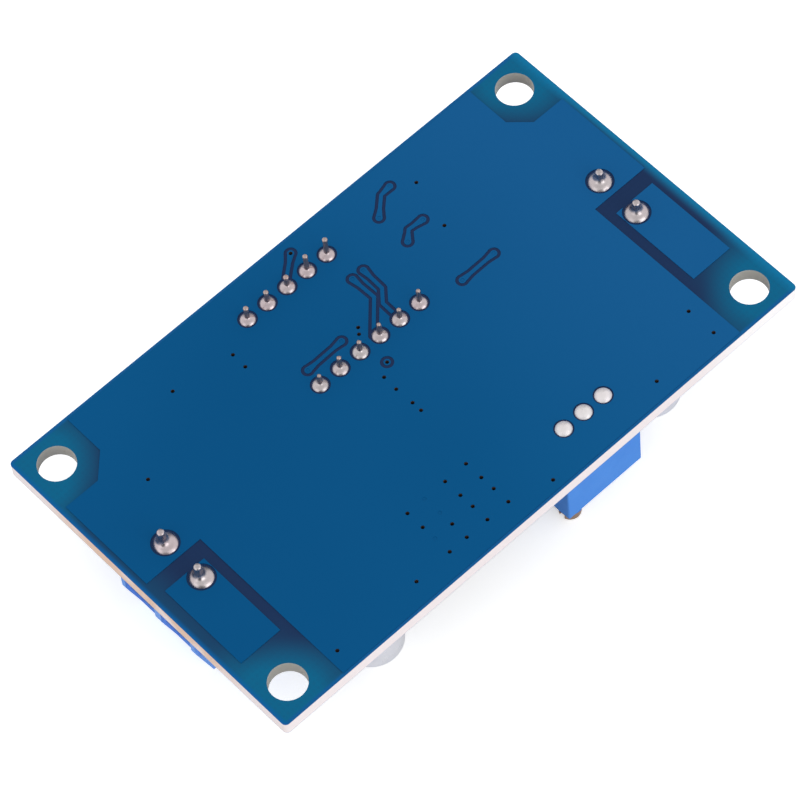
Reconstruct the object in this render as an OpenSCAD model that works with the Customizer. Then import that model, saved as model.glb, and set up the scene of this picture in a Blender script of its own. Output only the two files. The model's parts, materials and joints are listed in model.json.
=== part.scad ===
// Step-down converter module with a panel voltmeter: a blue printed board that carries two screw
// terminal blocks, a trimmer, a three-digit display, a switching regulator with its coil and
// capacitors, and the meter's small parts. It is drawn component side up, with z = 0 on the solder
// face, and face_down() then lays it on its tallest parts with the solder side upwards.

/* [Board] */
// Length of the board
board_l = 65.2; // [64:0.1:70]
// Width of the board
board_w = 38.3; // [38:0.1:42]
// Thickness of the board
board_t = 1.6; // [1:0.1:2.4]
// Radius of the board's corners
corner_r = 0.5; // [0.3:0.1:1.5]
// Diameter of the mounting holes
mount_hole_d = 3.8; // [2.5:0.1:4]
// Mounting hole centre to the nearest two edges
mount_hole_inset = 3.2; // [2.8:0.05:4]
// Diameter of the drilled vias
via_d = 0.4; // [0.3:0.05:0.5]
// Thickness of the copper foil with its lacquer
foil_t = 0.06; // [0.03:0.01:0.1]
// Width of the gap between the pour and a track
track_gap = 0.32; // [0.15:0.01:0.4]
// Width of a track on the solder side
track_w = 0.38; // [0.3:0.01:0.6]
// Diameter of the pad that ends a track
track_pad_d = 0.7; // [0.6:0.05:1]
// Length over which a track widens to its pad
track_taper = 1.2; // [0.6:0.1:1.2]
// Bare strip between the pour and a long edge
pour_side_margin = 0.3; // [0.2:0.05:0.6]
// Bare strip between the pour and a short edge
pour_end_margin = 0.75; // [0.4:0.05:1]

/* [Terminal blocks] */
// Distance between the two poles
pole_pitch = 5; // [5:0.02:5.08]
// Length of a block along its poles
block_w = 10.2; // [10.1:0.1:11]
// Height of a block above the board
block_h = 10; // [9.8:0.1:10.6]
// Row of solder pins to the board's end
block_edge = 4.8; // [4.3:0.1:6]
// Pins to the front foot of the block
block_front = 3.95; // [3.7:0.05:4.2]
// Pins to the back of the block
block_back = 3.65; // [3.65:0.05:4]
// Height at which the front starts to lean back
block_knee = 4.6; // [4.4:0.1:6]
// Pins to the front edge of the top
block_top_front = 2.3; // [2.2:0.05:2.8]
// Width of the chamber that holds a clamp
chamber_w = 4.1; // [4.1:0.02:4.2]
// Width of a clamp
clamp_w = 3.8; // [3.6:0.05:3.9]
// Length of a clamp along the wire
clamp_l = 4; // [3.6:0.1:4]
// Height of a clamp
clamp_h = 4.85; // [4.8:0.01:4.9]
// Travel of a clamp from open to closed
clamp_travel = 2.2; // [1.6:0.1:2.2]
// Diameter of a clamp screw's shank
clamp_screw_d = 2.5; // [2.3:0.1:2.6]
// Diameter of a clamp screw's head
clamp_head_d = 3.8; // [3.4:0.1:3.8]
// Radial play of a turning screw
screw_play = 0.05; // [0.03:0.01:0.08]
// Length of a terminal block's solder pin past the solder face
block_pin_tail = 2.1; // [1.8:0.05:2.3]

/* [Trimmer] */
// Length of the trimmer's body
trim_l = 9.53; // [9.3:0.01:9.7]
// Width of the trimmer's body
trim_w = 4.83; // [4.6:0.01:5]
// Height of the trimmer's body above the board
trim_h = 10; // [9.9:0.05:10.4]
// Height of the feet that hold the body off the board
trim_foot_h = 0.4; // [0.2:0.1:0.6]
// Diameter of the adjusting screw's head
trim_screw_d = 2.2; // [2:0.05:2.3]
// Height of the adjusting screw above the body
trim_screw_proud = 1.3; // [1:0.1:1.5]
// Middle of the trimmer along the board, from the centre
trim_x = 9.1; // [8:0.1:9.5]
// Middle of the trimmer to the board's near edge
trim_edge = 4.5; // [3.5:0.05:4.6]

/* [Display] */
// Length of the display
display_l = 22.5; // [22:0.1:22.6]
// Width of the display
display_w = 14; // [13.6:0.1:14.1]
// Height of the display
display_h = 7.2; // [6:0.1:8]
// Middle of the display to the middle of the board
display_off = 9.9; // [9.8:0.1:10.2]
// Height of a digit
digit_h = 9.14; // [8:0.01:9.4]
// Width of a digit
digit_w = 5; // [4.4:0.1:5.2]
// Width of a segment
segment_w = 1; // [0.7:0.05:1.1]
// Distance between digits
digit_pitch = 7.3; // [7:0.1:7.4]
// Lean of the digits in degrees
digit_lean = 8; // [0:1:10]

/* [Pins and solder] */
// Distance between pins in a row
pin_pitch = 2.54; // [2.5:0.01:2.54]
// Distance between the display's two rows of pins
display_row = 10.16; // [10:0.01:10.2]
// Diameter of a round pin
pin_d = 0.5; // [0.4:0.05:0.6]
// Length of the shortest display pin past the solder face
display_pin_tail = 1.85; // [1.4:0.05:2]
// Diameter of the solder on a round pin
solder_d = 1.65; // [1.5:0.05:1.8]
// Height of the solder on a round pin
solder_h = 0.6; // [0.5:0.05:0.8]
// Diameter of the solder on a terminal block pin
block_solder_d = 2.5; // [2.2:0.1:2.6]
// Height of the solder round a terminal block pin
block_solder_h = 0.8; // [0.6:0.05:1]

/* [Power parts] */
// Middle of the regulator along the board, from the centre
regulator_x = -6.25; // [-6.6:0.05:-6]
// Regulator's heat tab to the board's near edge
regulator_edge = 1.15; // [0.6:0.05:1.2]
// Width of the regulator
regulator_w = 10.1; // [9.8:0.05:10.3]
// Length of the regulator's moulded body
regulator_body_l = 8.7; // [8.6:0.1:9]
// Height of the regulator's moulded body
regulator_h = 4.4; // [4:0.1:4.8]
// Distance between the regulator's leads
regulator_pitch = 1.7; // [1.6:0.01:1.72]
// Width and length of the coil
coil_w = 12.3; // [11:0.1:12.4]
// Height of the coil
coil_h = 7.8; // [6:0.1:8.5]
// Middle of the coil along the board, from the centre
coil_x = 8.6; // [8.4:0.1:9.5]
// Diameter of a capacitor's can
can_d = 6.3; // [5:0.1:6.5]
// Height of a capacitor
can_h = 8; // [5.4:0.1:8.5]
// Width of a capacitor's base over its diameter
can_base_over = 0.3; // [0.2:0.05:0.4]

/* [Meter parts] */
// Width and length of a push button
button_w = 5.2; // [5:0.1:5.2]
// Height of a push button's base
button_base_h = 1.2; // [1.1:0.1:1.6]
// Diameter of a push button's plunger
button_d = 2.4; // [2:0.1:2.6]
// Height of the plunger above its cover
button_proud = 0.6; // [0.5:0.1:1.2]
// Travel of a push button
button_travel = 0.25; // [0.15:0.05:0.3]

/* [Hidden] */
$fn = 48;
// Overlap that keeps a cut from ending on a face
cut = 0.1;
// Face on which the components sit, and how high the module's solder side lies when it is face down
seat = board_t + foil_t;
stand_h = seat + trim_h + trim_screw_proud;

// Places on the board, from its centre
half_l = board_l / 2;
half_w = board_w / 2;
block_x = half_l - block_edge;
display_y = -display_off;
trim_y = half_w - trim_edge;
trim_pin_x = trim_x - 0.15;
coil_y = (display_y + display_w / 2 + trim_y - trim_w / 2) / 2;
regulator_end = half_w - regulator_edge;
input_can = [-18.1, half_w - 5.2];
output_can = [18.65, half_w - 6];
// Free ends of the regulator's leads, and the diode half way between them and the display
regulator_y0 = regulator_end - 1.3 - regulator_body_l;
regulator_lead_end = regulator_y0 - 4.9;
diode_place = [regulator_x + 1.05, (display_y + display_w / 2 + regulator_lead_end) / 2];
controller_place = [display_l / 2 + 5.15, display_y];
supply_place = [-display_l / 2 - 6.4, 3.2];
left_button = [-display_l / 2 - 5.45, display_y - 1.7];
right_button = [display_l / 2 + 11.65, display_y - 0.5];

// Copper on the solder side: bare corners round the holes, and the island of each plus terminal
island_near = 1.2;
island_far = 11.6;
island_l = 4.8;
island_inset = 1.45;
island_gap_end = 7.35;
island_gap_near = -0.55;
corner_bare_w = 7.3;
corner_bare_in = [7, 2.3];
corner_bare_out = [6.45, 1.9];
block_hole_d = 1.5;
pin_hole_d = 0.85;
pad_gap = 0.16;

// Copper on the component side: bare ring round a hole, and where the gaps between its areas run
hole_margin = 1.45;
in_gap_x = regulator_x - regulator_w / 2 - 1.2;
leads_gap_y = (regulator_y0 + regulator_lead_end) / 2;
low_gap_y = display_y + display_w / 2 + 0.5;
high_gap_y = coil_y + coil_w / 2 + 0.7;

// Tracks on the solder side, each a list of points
solder_tracks = [
    [[13.25, -16.35], [12, -16.2], [10.1, -14.45]],
    [[12.9, -11.35], [11.2, -11.5], [10.2, -10.55]],
    [[15.05, -3.8], [10.9, -3.75]],
    [[-1.75, -6.9], [-6.1, -6.8]]];
// Tracks that run from a via to one of the display's pins
pin_tracks = [
    [[1.45, -17.5], [-0.6, -15.8], [-1.27, -14.98]],
    [[3.65, -11.2], [3.75, -8.3], [0.8, -5.2]],
    [[5.05, -11.2], [4.95, -8.5], [3.85, -7.2], [3.81, -4.82]]];
lone_pad = [-0.26, -2.2];
// Vias under the regulator's tab, from its middle and its end, and whether lacquer covers each one
tab_via_rows = [[-3.7, [[7.05, 0], [5, 0], [3.35, 1], [1.4, 0]]], [-1.55, [[7.05, 1], [5, 1], [3.35, 0], [1.4, 0]]],
    [1.05, [[7.05, 0], [5, 0], [3.35, 0], [1.4, 0]]], [3.7, [[7.05, 0], [5, 0], [3.35, 0], [1.4, 0]]]];
function tab_vias(covered) = [for (r = tab_via_rows, v = r[1]) if (v[1] == covered)
    [regulator_x + r[0], regulator_end - v[0]]];
// Vias beside the board's near edge, from the middle and from that edge
edge_vias = [[-14.2, 2.45], [1.94, 1.3], [16.05, 2.05], [23.5, 5.35], [23.5, 2.05], [-24.1, 2.35]];
// All vias that are open on the solder side
open_vias = concat(tab_vias(0), [for (v = edge_vias) [v[0], half_w - v[1]]], [[-24.5, -8.65], [-16.6, -14.1],
    [-9.95, -13.05], [-10, -11.25], [-1.58, -1.2], [-1.66, 0.55], [-1.58, 2.7], [-1.58, 3.85],
    [15.35, -14.85], [13.9, -9.4], [0.4, -6.9], [-0.05, -6.3], pin_tracks[0][0], lone_pad]);
// Vias that lacquer covers on the solder side, where each leaves a dimple
covered_vias = concat(tab_vias(1), [pin_tracks[1][0], pin_tracks[2][0]],
    [for (t = solder_tracks, p = [t[0], t[len(t) - 1]]) p]);

// Terminal block: the ledge that holds a screw's head, and the contact that a wire is pressed on
screw_x = -0.35;
foot_t = 0.6;
strip_t = 0.65;
strip_w = 2.4;
clamp_base_t = 0.7;
clamp_top_t = 1;
clamp_side_t = 0.5;
clamp_z = foot_t + 0.05;
tongue_z = clamp_z + clamp_base_t + clamp_travel + 0.05;
ledge_z = clamp_z + clamp_h + clamp_travel + 0.1;
ledge_t = 0.6;
head_h = 1.25;
head_z = ledge_z + ledge_t + 0.05;
chamber_back = screw_x - clamp_l / 2 - 0.1 - strip_t - 0.1;
chamber_front = screw_x + clamp_l / 2 + 0.35;
entry_w = 3.6;
entry_top = 4.6;
entry_base = 0.9;
recess_d = 0.35;
rail_x = 2.9;
block_pin_w = 0.65;

// Trimmer and display
trim_wall = 0.6;
trim_seal_h = 1.2;
trim_screw_x = 1.3 - trim_l / 2;
trim_screw_y = trim_w / 2 - 1.3;
trim_collar_h = 0.8;
trim_neck_d = 1.5;
trim_neck_l = 2.6;
display_wall = 0.8;
display_seal_h = 1.4;
segment_t = 0.6;
segment_drop = 0.02;
dot_d = 1.1;
// Each display pin's place along its row in pitches, and how much longer than the shortest it is
display_pins_near = [[-2.5, 0.3], [-1.5, 0.25], [-0.5, 0.05], [0.5, 0.85], [1.5, 0.95]];
display_pins_far = [[-2.5, 0], [-1.5, 0.25], [-0.5, 0.1], [0.5, 0.3], [1.5, 0], [2.5, 0.45]];

// Push buttons
button_cover_t = 0.15;
button_floor = 0.3;
dome_d = 3.4;
dome_h = 0.35;
dome_t = 0.08;
plunger_flange_d = 3.1;
plunger_flange_h = 0.3;

function front_x(z) = z < block_knee ? block_front
    : block_front - (z - block_knee) * (block_front - block_top_front) / (block_h - block_knee);

// Lays the module down on its tallest parts, solder side up
module face_down()
    translate([0, 0, stand_h]) rotate([180, 0, 0]) children();

module box(x0, x1, y0, y1, z0, z1)
    translate([x0, y0, z0]) cube([x1 - x0, y1 - y0, z1 - z0]);

// A side outline in x and z, drawn out along y about y = 0
module side_profile(points, width)
    rotate([90, 0, 0]) linear_extrude(width, center = true) polygon(points);

module rounded_plate(l, w, r, t) {
    translate([0, 0, t / 2]) cube([l - 2 * r, w, t], center = true);
    translate([0, 0, t / 2]) cube([l, w - 2 * r, t], center = true);
    for (sx = [-1, 1], sy = [-1, 1])
        translate([sx * (l / 2 - r), sy * (w / 2 - r), 0]) cylinder(r = r, h = t);
}

module at_mount_holes()
    for (sx = [-1, 1], sy = [-1, 1])
        translate([sx * (half_l - mount_hole_inset), sy * (half_w - mount_hole_inset), 0]) children();

module at_vias(places)
    for (p = places) translate([p[0], p[1], 0]) children();

module at_block_pins()
    for (sx = [-1, 1], sy = [-1, 1])
        translate([sx * block_x, sy * pole_pitch / 2, 0]) children();

module at_display_pins() {
    for (p = display_pins_near)
        translate([p[0] * pin_pitch, display_y - display_row / 2, 0]) children();
    for (p = display_pins_far)
        translate([p[0] * pin_pitch, display_y + display_row / 2, 0]) children();
}

module at_trimmer_pins()
    for (i = [-1:1]) translate([trim_pin_x + i * pin_pitch, trim_y, 0]) children();

// Printed board, drilled right through
module board() {
    color([0.05, 0.26, 0.47]) difference() {
        rounded_plate(board_l, board_w, corner_r, board_t);
        translate([0, 0, -cut]) {
            at_mount_holes() cylinder(d = mount_hole_d, h = board_t + 2 * cut);
            at_vias(concat(open_vias, covered_vias)) cylinder(d = via_d, h = board_t + 2 * cut, $fn = 24);
            at_block_pins() cylinder(d = block_hole_d, h = board_t + 2 * cut);
            at_display_pins() cylinder(d = pin_hole_d, h = board_t + 2 * cut);
            at_trimmer_pins() cylinder(d = pin_hole_d, h = board_t + 2 * cut);
        }
    }
}

// One straight stretch of a track, with round ends
module track_stretch(a, b, w, t) {
    d = b - a;
    translate(a) cylinder(d = w, h = t, $fn = 24);
    translate(b) cylinder(d = w, h = t, $fn = 24);
    translate(a) rotate([0, 0, atan2(d[1], d[0])])
        translate([0, -w / 2, 0]) cube([norm(d), w, t]);
}

// Pad at a track's end, grown by the given margin, with the taper that leads to the next point;
// the taper's corners lie a little inside the pad and the track
module track_pad(at, next, grow, t) {
    d = next - at;
    wide = track_pad_d / 2 + grow - 0.01;
    narrow = track_w / 2 + grow - 0.02;
    translate(at) {
        cylinder(d = track_pad_d + 2 * grow, h = t, $fn = 32);
        rotate([0, 0, atan2(d[1], d[0])]) linear_extrude(t)
            polygon([[0.02, -wide], [track_taper, -narrow], [track_taper, narrow], [0.02, wide]]);
    }
}

// A whole track, grown by the given margin, with a pad at its first point or at both ends
module track(points, grow, t, both_ends) {
    last = len(points) - 1;
    for (i = [0:last - 1])
        track_stretch(points[i], points[i + 1], track_w + 2 * grow, t);
    track_pad(points[0], points[1], grow, t);
    if (both_ends) track_pad(points[last], points[last - 1], grow, t);
}

module solder_tracks_grown(grow, t) {
    for (p = solder_tracks) track(p, grow, t, true);
    for (p = pin_tracks) track(p, grow, t, false);
    translate(lone_pad) cylinder(d = track_pad_d + 2 * grow, h = t, $fn = 32);
}

// Bare corner round a mounting hole at the end given by side: its length, and how much is cut off it
module bare_corner(side, size)
    linear_extrude(foil_t + 2 * cut) polygon([
        [side * (half_l + 1), -half_w - 1],
        [side * (half_l - size[0]), -half_w - 1],
        [side * (half_l - size[0]), corner_bare_w - size[1] - half_w],
        [side * (half_l - size[0] + size[1]), corner_bare_w - half_w],
        [side * (half_l + 1), corner_bare_w - half_w]]);

// Bare band round the island of a plus terminal
module bare_band(side)
    box(min(side * (half_l - island_gap_end), side * (half_l + 1)),
        max(side * (half_l - island_gap_end), side * (half_l + 1)),
        island_gap_near, half_w + 1, 0, foil_t + 2 * cut);

module plus_island(side)
    box(min(side * (half_l - island_inset), side * (half_l - island_inset - island_l)),
        max(side * (half_l - island_inset), side * (half_l - island_inset - island_l)),
        island_near, island_far, 0, foil_t);

// Copper on the solder side: one ground pour, two plus islands and the short tracks
module solder_side_copper() {
    color([0.06, 0.33, 0.55]) translate([0, 0, -foil_t]) difference() {
        union() {
            difference() {
                box(pour_end_margin - half_l, half_l - pour_end_margin,
                    pour_side_margin - half_w, half_w - pour_side_margin, 0, foil_t);
                translate([0, 0, -cut]) {
                    bare_corner(-1, corner_bare_in);
                    bare_corner(1, corner_bare_out);
                    bare_band(-1);
                    bare_band(1);
                    solder_tracks_grown(track_gap, foil_t + 2 * cut);
                }
            }
            plus_island(-1);
            plus_island(1);
            solder_tracks_grown(0, foil_t);
        }
        translate([0, 0, -cut]) {
            at_vias(open_vias) cylinder(d = via_d, h = foil_t + 2 * cut, $fn = 24);
            at_vias(covered_vias) cylinder(d = via_d, h = cut + foil_t / 2, $fn = 24);
            at_block_pins() cylinder(d = block_solder_d + 2 * pad_gap, h = foil_t + 2 * cut);
            at_display_pins() cylinder(d = solder_d + 2 * pad_gap, h = foil_t + 2 * cut);
            at_trimmer_pins() cylinder(d = solder_d + 2 * pad_gap, h = foil_t + 2 * cut);
        }
    }
}

// A gap in the component side's pour, along a list of points
module pour_gap(points)
    for (i = [0:len(points) - 2])
        track_stretch(points[i], points[i + 1], 0.35, foil_t + 2 * cut);

// Copper on the component side: input, switched, output and ground areas
module component_side_copper() {
    color([0.06, 0.33, 0.55]) translate([0, 0, board_t]) difference() {
        box(pour_end_margin - half_l, half_l - pour_end_margin,
            pour_side_margin - half_w, half_w - pour_side_margin, 0, foil_t);
        translate([0, 0, -cut]) {
            at_mount_holes() cylinder(d = mount_hole_d + 2 * hole_margin, h = foil_t + 2 * cut);
            at_vias(concat(open_vias, covered_vias)) cylinder(d = via_d, h = foil_t + 2 * cut, $fn = 24);
            at_block_pins() cylinder(d = block_solder_d, h = foil_t + 2 * cut);
            at_display_pins() cylinder(d = solder_d, h = foil_t + 2 * cut);
            at_trimmer_pins() cylinder(d = solder_d, h = foil_t + 2 * cut);
            pour_gap([[-half_l, 0], [in_gap_x, 0], [in_gap_x, leads_gap_y + 1.2],
                [regulator_x - regulator_pitch * 1.5, leads_gap_y + 1.2],
                [regulator_x - regulator_pitch * 1.5, low_gap_y]]);
            pour_gap([[regulator_x - regulator_pitch * 1.5, low_gap_y], [coil_x, low_gap_y],
                [coil_x, high_gap_y], [coil_x - coil_w / 2 - 0.9, high_gap_y],
                [coil_x - coil_w / 2 - 0.9, leads_gap_y + 1.2],
                [regulator_x + regulator_w / 2 - 1, leads_gap_y + 1.2],
                [regulator_x + regulator_w / 2 - 1, low_gap_y]]);
            pour_gap([[coil_x, low_gap_y], [half_l, low_gap_y]]);
            pour_gap([[coil_x, high_gap_y], [coil_x + coil_w / 2, high_gap_y],
                [coil_x + coil_w / 2, half_w]]);
        }
    }
}

// Housing of a terminal block: pins on x = 0, wires enter at +x, two chambers along y
module block_housing() {
    end_wall_y = block_w / 2;
    difference() {
        side_profile([[-block_back, 0], [block_front, 0], [block_front, block_knee],
            [block_top_front, block_h], [0.6 - block_back, block_h], [-block_back, block_h - 3]], block_w);
        for (s = [-1, 1]) translate([0, s * pole_pitch / 2, 0]) {
            box(chamber_back, chamber_front, -chamber_w / 2, chamber_w / 2, -cut, ledge_z);
            box(0, block_front + cut, -entry_w / 2, entry_w / 2, entry_base, entry_top);
            side_profile([[block_front - recess_d, entry_base - 0.3], [block_front + cut, entry_base - 0.3],
                [block_front + cut, block_h - 1.1], [front_x(block_h - 1.1) - recess_d, block_h - 1.1],
                [block_front - recess_d, block_knee]], entry_w + 0.5);
            translate([screw_x, 0, ledge_z + ledge_t])
                cylinder(d = clamp_head_d + 0.3, h = block_h);
            translate([screw_x, 0, ledge_z - cut])
                cylinder(d = clamp_screw_d + 0.3, h = ledge_t + 2 * cut);
        }
        // Groove that takes a neighbour's rail
        translate([rail_x, end_wall_y, -cut]) rail(0.05, block_h);
    }
    translate([rail_x, -end_wall_y, 1]) rail(0, block_knee);
}

// Dovetail rail that joins blocks side by side, pointing to -y, grown for its groove
module rail(play, h)
    linear_extrude(h) polygon([[-0.35 - play, cut], [0.35 + play, cut],
        [0.35 + play, 0], [0.55 + play, -0.35 - play], [-0.55 - play, -0.35 - play], [-0.35 - play, 0]]);

// Bent contact strip of one pole: a tongue in the clamp, a leg behind it, a foot, and the solder pin
module block_contact() {
    side_profile([[chamber_back + 0.1, 0], [block_pin_w / 2, 0], [block_pin_w / 2, foot_t],
        [chamber_back + 0.1 + strip_t, foot_t], [chamber_back + 0.1 + strip_t, tongue_z],
        [screw_x + clamp_l / 2 - 0.3, tongue_z], [screw_x + clamp_l / 2 - 0.3, tongue_z + strip_t],
        [chamber_back + 0.1, tongue_z + strip_t]], strip_w);
    box(-strip_t / 2, strip_t / 2, -block_pin_w / 2, block_pin_w / 2, -seat - block_pin_tail, 0);
}

// Clamp cage of one pole, open along the wire, with the screw's hole in its top
module block_clamp()
    translate([screw_x, 0, clamp_z]) difference() {
        box(-clamp_l / 2, clamp_l / 2, -clamp_w / 2, clamp_w / 2, 0, clamp_h);
        box(-clamp_l, clamp_l, clamp_side_t - clamp_w / 2, clamp_w / 2 - clamp_side_t,
            clamp_base_t, clamp_h - clamp_top_t);
        translate([0, 0, clamp_h - clamp_top_t - cut])
            cylinder(d = clamp_screw_d + 2 * screw_play, h = clamp_top_t + 2 * cut);
    }

// Clamp screw with a cross slot
module block_screw()
    translate([screw_x, 0, 0]) difference() {
        union() {
            translate([0, 0, tongue_z + strip_t + 0.1])
                cylinder(d = clamp_screw_d, h = head_z - tongue_z - strip_t);
            translate([0, 0, head_z]) cylinder(d = clamp_head_d, h = head_h - 0.25);
            translate([0, 0, head_z + head_h - 0.25])
                cylinder(d1 = clamp_head_d, d2 = clamp_head_d - 0.5, h = 0.25);
        }
        for (a = [0, 90]) rotate([0, 0, a])
            translate([-clamp_head_d, -0.3, head_z + head_h - 0.7]) cube([2 * clamp_head_d, 0.6, 1]);
    }

// A block's own frame at the board's input end, -1, or output end, 1
module at_block(side)
    translate([side * block_x, 0, seat]) rotate([0, 0, side < 0 ? 180 : 0]) children();

// A pole of a block: pole -1 lies at -y on the board and is the minus terminal
module at_pole(side, pole)
    at_block(side) translate([0, side * pole * pole_pitch / 2, 0]) children();

module block_contacts(side)
    for (pole = [-1, 1]) at_pole(side, pole) block_contact();

// Trimmer: a deep blue case open below, sealed round its three pins
module trimmer_housing()
    color([0.3, 0.55, 0.9]) translate([trim_x, trim_y, seat]) difference() {
        union() {
            box(-trim_l / 2, trim_l / 2, -trim_w / 2, trim_w / 2, trim_foot_h, trim_h);
            for (sx = [-1, 1], sy = [-1, 1])
                translate([sx * (trim_l / 2 - 0.6), sy * (trim_w / 2 - 0.6), trim_foot_h / 2])
                    cube([1.2, 1.2, trim_foot_h], center = true);
        }
        box(trim_wall - trim_l / 2, trim_l / 2 - trim_wall, trim_wall - trim_w / 2, trim_w / 2 - trim_wall,
            -cut, trim_foot_h + trim_seal_h);
        translate([trim_screw_x, trim_screw_y, trim_h - trim_collar_h])
            cylinder(d = trim_screw_d + 2 * screw_play, h = trim_h);
        translate([trim_screw_x, trim_screw_y, trim_h - trim_collar_h - trim_neck_l])
            cylinder(d = trim_neck_d + 2 * screw_play, h = trim_h);
    }

module trimmer_base_seal()
    color([0.25, 0.45, 0.78]) difference() {
        translate([trim_x, trim_y, seat])
            box(trim_wall - trim_l / 2, trim_l / 2 - trim_wall, trim_wall - trim_w / 2, trim_w / 2 - trim_wall,
                trim_foot_h + 0.15, trim_foot_h + trim_seal_h);
        translate([0, 0, seat - cut]) at_trimmer_pins() cylinder(d = pin_d, h = trim_h, $fn = 32);
    }

module trimmer_pins()
    color("silver") at_trimmer_pins() translate([0, 0, 0.2 - solder_h])
        cylinder(d = pin_d, h = seat + trim_foot_h + trim_seal_h + solder_h - 0.2, $fn = 32);

module trimmer_screw()
    color([0.78, 0.6, 0.3]) translate([trim_x + trim_screw_x, trim_y + trim_screw_y, seat]) difference() {
        union() {
            translate([0, 0, trim_h - trim_collar_h + 0.02])
                cylinder(d = trim_screw_d, h = trim_collar_h - 0.02 + trim_screw_proud);
            translate([0, 0, trim_h - trim_collar_h - trim_neck_l + 0.05])
                cylinder(d = trim_neck_d, h = trim_neck_l);
        }
        translate([-trim_screw_d, -0.32, trim_h + trim_screw_proud - 0.7])
            cube([2 * trim_screw_d, 0.64, 1]);
    }

// Leans a point of a digit over
function lean(p) = [p[0] + p[1] * tan(digit_lean), p[1]];

// Six-sided segment from a to b, both ends pointed
module segment(a, b) {
    d = (b - a) / norm(b - a);
    n = [-d[1], d[0]] * segment_w / 2;
    k = d * segment_w / 2;
    polygon([for (p = [a, a + k + n, b - k + n, b, b - k - n, a + k - n]) lean(p)]);
}

// One digit's seven segments and its dot, grown in depth only
module digit_shapes(t) {
    x = (digit_w - segment_w) / 2;
    y = (digit_h - segment_w) / 2;
    e = 0.14;
    bars = [[[-x + e, y], [x - e, y]], [[-x + e, 0], [x - e, 0]], [[-x + e, -y], [x - e, -y]],
        [[-x, y - e], [-x, e]], [[x, y - e], [x, e]], [[-x, -e], [-x, -y + e]], [[x, -e], [x, -y + e]]];
    for (b = bars) linear_extrude(t) segment(b[0], b[1]);
    translate([digit_w / 2 + dot_d / 2 - 0.05 - y * tan(digit_lean) / 2, -y - 0.05, 0])
        cylinder(d = dot_d, h = t, $fn = 32);
}

module display_shapes(t)
    for (i = [-1:1]) translate([i * digit_pitch - 0.2, 0, 0]) digit_shapes(t);

module display_case()
    color([0.12, 0.12, 0.13]) translate([0, display_y, seat]) difference() {
        box(-display_l / 2, display_l / 2, -display_w / 2, display_w / 2, 0, display_h);
        box(display_wall - display_l / 2, display_l / 2 - display_wall,
            display_wall - display_w / 2, display_w / 2 - display_wall, -cut, display_seal_h);
        translate([0, 0, display_h - segment_t]) display_shapes(segment_t + cut);
    }

module display_segments()
    color([0.93, 0.93, 0.9]) translate([0, display_y, seat + display_h - segment_t])
        display_shapes(segment_t - segment_drop);

module display_back_seal()
    color([0.85, 0.84, 0.78]) difference() {
        translate([0, display_y, seat])
            box(display_wall - display_l / 2, display_l / 2 - display_wall,
                display_wall - display_w / 2, display_w / 2 - display_wall, 0.2, display_seal_h);
        translate([0, 0, seat - cut]) at_display_pins() cylinder(d = pin_d, h = display_h, $fn = 32);
    }

// A pin with a bead of tin on its tip, that stands tail past the solder face
module display_pin(tail) {
    translate([0, 0, -tail]) cylinder(d = pin_d, h = tail + seat + display_seal_h, $fn = 32);
    translate([0, 0, -tail]) rotate_extrude($fn = 32) polygon([[0, 0], [pin_d * 0.3, 0.02],
        [pin_d * 0.5, 0.12], [pin_d * 0.56, 0.28], [pin_d * 0.5, 0.45], [0, 0.45]]);
}

module display_pins()
    color("silver") {
        for (p = display_pins_near) translate([p[0] * pin_pitch, display_y - display_row / 2, 0])
            display_pin(display_pin_tail + p[1]);
        for (p = display_pins_far) translate([p[0] * pin_pitch, display_y + display_row / 2, 0])
            display_pin(display_pin_tail + p[1]);
    }

// Regulator: moulded body on a heat tab, with five bent leads towards the display
tab_t = 1.27;
lead_t = 0.5;

module regulator_tab_plate()
    linear_extrude(tab_t) polygon([
        [-regulator_w / 2 + 0.5, regulator_y0 + 1.4], [regulator_w / 2 - 0.5, regulator_y0 + 1.4],
        [regulator_w / 2 - 0.5, regulator_end - 1.3], [regulator_w / 2 - 1, regulator_end - 1.3],
        [regulator_w / 2 - 1, regulator_end], [-regulator_w / 2 + 1, regulator_end],
        [-regulator_w / 2 + 1, regulator_end - 1.3], [-regulator_w / 2 + 0.5, regulator_end - 1.3]]);

module regulator_tab()
    color([0.72, 0.72, 0.72]) translate([regulator_x, 0, seat]) regulator_tab_plate();

module regulator_lead(grow)
    rotate([90, 0, 90]) linear_extrude(0.8 + 2 * grow, center = true) polygon([
        [regulator_y0 + 1.2, 2.4 - grow], [regulator_y0 - 0.9 + grow, 2.4 - grow], [regulator_y0 - 2.1 + grow, -0],
        [regulator_y0 - 4.9, 0], [regulator_y0 - 4.9, lead_t], [regulator_y0 - 2.45, lead_t],
        [regulator_y0 - 1.2, 2.4 + lead_t], [regulator_y0 + 1.2, 2.4 + lead_t]]);

module regulator_leads()
    color("silver") translate([regulator_x, 0, seat])
        for (i = [-2:2]) translate([i * regulator_pitch, 0, 0]) regulator_lead(0);

module regulator_body()
    color([0.1, 0.1, 0.11]) translate([regulator_x, 0, seat]) difference() {
        rotate([90, 0, 90]) linear_extrude(regulator_w, center = true) polygon([
            [regulator_y0 + 0.25, 0.1], [regulator_end - 1.3, 0.1], [regulator_end - 1.3, 1.6],
            [regulator_end - 1.75, regulator_h], [regulator_y0 + 0.45, regulator_h], [regulator_y0, 2.6]]);
        regulator_tab_plate();
        for (i = [-2:2]) translate([i * regulator_pitch, 0, 0]) regulator_lead(0);
        translate([0, regulator_end - 3.4, regulator_h - 0.2]) cylinder(d = 1.6, h = 1);
    }

// Freewheel diode: a moulded block with a folded lead at each end
module diode_lead()
    side_profile([[1.3, 0], [2.7, 0], [2.7, 1.5], [2, 1.5], [2, 1.25], [2.45, 1.25], [2.45, 0.25], [1.3, 0.25]], 2);

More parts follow.
